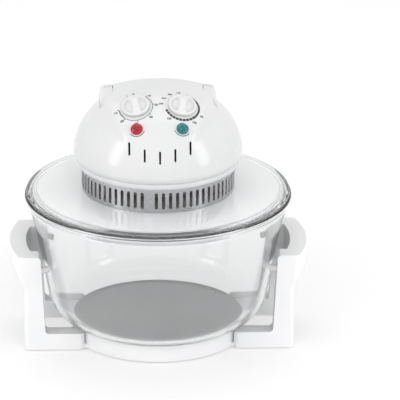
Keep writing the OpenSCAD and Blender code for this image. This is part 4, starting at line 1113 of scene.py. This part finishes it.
tube_start = pi / 2 + TUBE_GAP / 2
make_piece(
    "quartz_tube", part_ring(TUBE_R, tube_start, 2 * pi - TUBE_GAP, 120, 24), clear_quartz, "head",
    stands_for=("halogen_tube",), sharp=60)
filament_metal = metal(
    "filament coil", (0.34, 0.33, 0.34), (0.25, 0.24, 0.26), roughness=0.4, depth=0.2,
    stretch=(900, 900, 900), relief=0.8)
filament = part_ring(
    FILAMENT_R, tube_start + FILAMENT_INSET, 2 * pi - TUBE_GAP - 2 * FILAMENT_INSET, 120, 10)
make_piece("filament", filament, filament_metal, "head", sharp=60)

# %% [markdown]
# ## Everything else keeps its frame shape
#
# Screws, studs, motor, fans, switch and terminals are simple solids that the frame already has
# right. They only need a finish that suits what they are made of.

# %% Finish the remaining nodes
node_finish = {
    "frame_screws": zinc, "lid_gasket": grey_silicone, "chassis_plate": zinc, "cover_screws": zinc,
    "insulation_disc": mineral_board, "pan_studs": zinc, "stud_nuts": zinc,
    "tube_end_caps": raw_ceramic, "tube_clips": zinc, "motor_stator": stacked_steel,
    "motor_coil": copper_wire, "motor_brackets": zinc, "motor_bushes": bronze,
    "motor_spacers": zinc, "motor_screws": zinc, "motor_shaft": ground_steel,
    "rotor_core": turned_rotor, "cooling_fan": fan_plastic, "hot_air_fan": pressed_fan,
    "fan_nut": zinc, "timer_body": zinc, "timer_bell": slotted_steel,
    "thermostat_body": tan_ceramic, "control_screws": zinc, "timer_shaft": ground_steel,
    "thermostat_shaft": ground_steel, "neon_lamps": lamp_bulb, "handle_axles": ground_steel,
    "switch_cam": cam_plastic, "safety_switch": black_moulding, "switch_plunger": red_moulding,
    "thermal_cutout": black_moulding, "terminal_block": raw_ceramic, "inlet_pins": brass_pin,
}
for node, material in node_finish.items():
    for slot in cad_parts[node].material_slots:
        slot.material = material
print(len(node_finish), "nodes finished")

# %% [markdown]
# ## Studio
#
# The picture is high key: a white floor runs into a white background, with no visible horizon
# and hardly any shadow. White on white only reads as a shape because some faces turn a little
# grey, so the room is brightest in front and dimmer above. Past the oven the camera sees pure
# white, directly, in metal and through glass alike. About half of the floor's white is a glow and
# the rest takes light and shade, which leaves it white near the oven and lets it keep the oven's
# soft shadow. In a wide view from behind, the floor's far edge shows as a very faint step.

# %% Floor
FLOOR_GLOW, FLOOR_SHADE, FLOOR_HALF, FLOOR_Z = 0.48, 0.5, 3.0, -0.0005


def ray_mix(tree, seen, lit, into):
    """Shows one shader to the camera, in metal and through glass, and another to light."""
    path = tree.nodes.new("ShaderNodeLightPath")
    looked_at = maths(tree, "MAXIMUM", path.outputs["Is Camera Ray"], path.outputs["Is Glossy Ray"])
    looked_at = maths(tree, "MAXIMUM", looked_at, path.outputs["Is Transmission Ray"])
    mix = tree.nodes.new("ShaderNodeMixShader")
    tree.links.new(looked_at, mix.inputs[0])
    tree.links.new(lit, mix.inputs[1])
    tree.links.new(seen, mix.inputs[2])
    tree.links.new(mix.outputs[0], into)


floor_material = bpy.data.materials.new("studio floor")
floor_material.use_nodes = True
floor_tree = floor_material.node_tree
floor_tree.nodes.clear()
floor_out = floor_tree.nodes.new("ShaderNodeOutputMaterial")
floor_glow = put(floor_tree, "ShaderNodeEmission", Color=(1, 1, 1, 1), Strength=FLOOR_GLOW)
floor_shaded = put(
    floor_tree, "ShaderNodeBsdfDiffuse", Color=(FLOOR_SHADE, FLOOR_SHADE, FLOOR_SHADE, 1))
floor_seen = floor_tree.nodes.new("ShaderNodeAddShader")
floor_tree.links.new(floor_glow.outputs[0], floor_seen.inputs[0])
floor_tree.links.new(floor_shaded.outputs[0], floor_seen.inputs[1])
floor_grey = put(floor_tree, "ShaderNodeBsdfDiffuse", Color=(0.74, 0.74, 0.745, 1))
ray_mix(floor_tree, floor_seen.outputs[0], floor_grey.outputs[0], floor_out.inputs["Surface"])

floor_bm = bmesh.new()
bmesh.ops.create_grid(floor_bm, x_segments=1, y_segments=1, size=FLOOR_HALF)
floor_mesh = bpy.data.meshes.new("floor")
floor_bm.to_mesh(floor_mesh)
floor_bm.free()
floor = bpy.data.objects.new("floor", floor_mesh)
floor_mesh.materials.append(floor_material)
floor_mesh.transform(Matrix.Translation((0, 0, FLOOR_Z)))
bpy.context.collection.objects.link(floor)
print("floor", 2 * FLOOR_HALF, "m square")

# %% Room light
HORIZON, DIM_ABOVE, MORE_IN_FRONT = 1.05, 0.45, 0.62
room = bpy.data.worlds.new("room")
bpy.context.scene.world = room
room.use_nodes = True
room_tree = room.node_tree
room_tree.nodes.clear()
room_out = room_tree.nodes.new("ShaderNodeOutputWorld")
direction = room_tree.nodes.new("ShaderNodeTexCoord").outputs["Generated"]
parts = room_tree.nodes.new("ShaderNodeSeparateXYZ")
room_tree.links.new(direction, parts.inputs[0])
from_above = spread(room_tree, parts.outputs["Z"], 0.15, 1.0)
from_front = spread(room_tree, parts.outputs["Y"], 0.2, -0.9)
dimmer_above = maths(
    room_tree, "SUBTRACT", HORIZON, maths(room_tree, "MULTIPLY", from_above, DIM_ABOVE))
around = maths(
    room_tree, "ADD", dimmer_above, maths(room_tree, "MULTIPLY", from_front, MORE_IN_FRONT))
room_light = put(room_tree, "ShaderNodeBackground", Color=(1, 1, 1, 1))
room_tree.links.new(around, room_light.inputs["Strength"])
room_seen = put(room_tree, "ShaderNodeBackground", Color=(1, 1, 1, 1), Strength=1.0)
ray_mix(room_tree, room_seen.outputs[0], room_light.outputs[0], room_out.inputs["Surface"])


# %% Soft lamps
def soft_lamp(name, size, place, look_at, power):
    """A broad lamp that points at the oven."""
    data = bpy.data.lights.new(name, "AREA")
    data.shape, data.size, data.size_y = "RECTANGLE", size[0], size[1]
    data.energy = power
    lamp = bpy.data.objects.new(name, data)
    lamp.location = place
    lamp.rotation_euler = (Vector(look_at) - Vector(place)).to_track_quat("-Z", "Y").to_euler()
    bpy.context.collection.objects.link(lamp)
    print(f"{name}: {power} W")


soft_lamp("lamp_above", (1.4, 1.0), (0.0, 0.3, 1.6), (0, 0, 0.2), 3)
for name, side in (("lamp_left", -1), ("lamp_right", 1)):
    soft_lamp(name, (0.5, 1.4), (side * 1.5, -0.8, 0.8), (0, 0, 0.15), 5)

# %% Plain colour handling
bpy.context.scene.view_settings.view_transform = "Standard"
print("view transform:", bpy.context.scene.view_settings.view_transform)
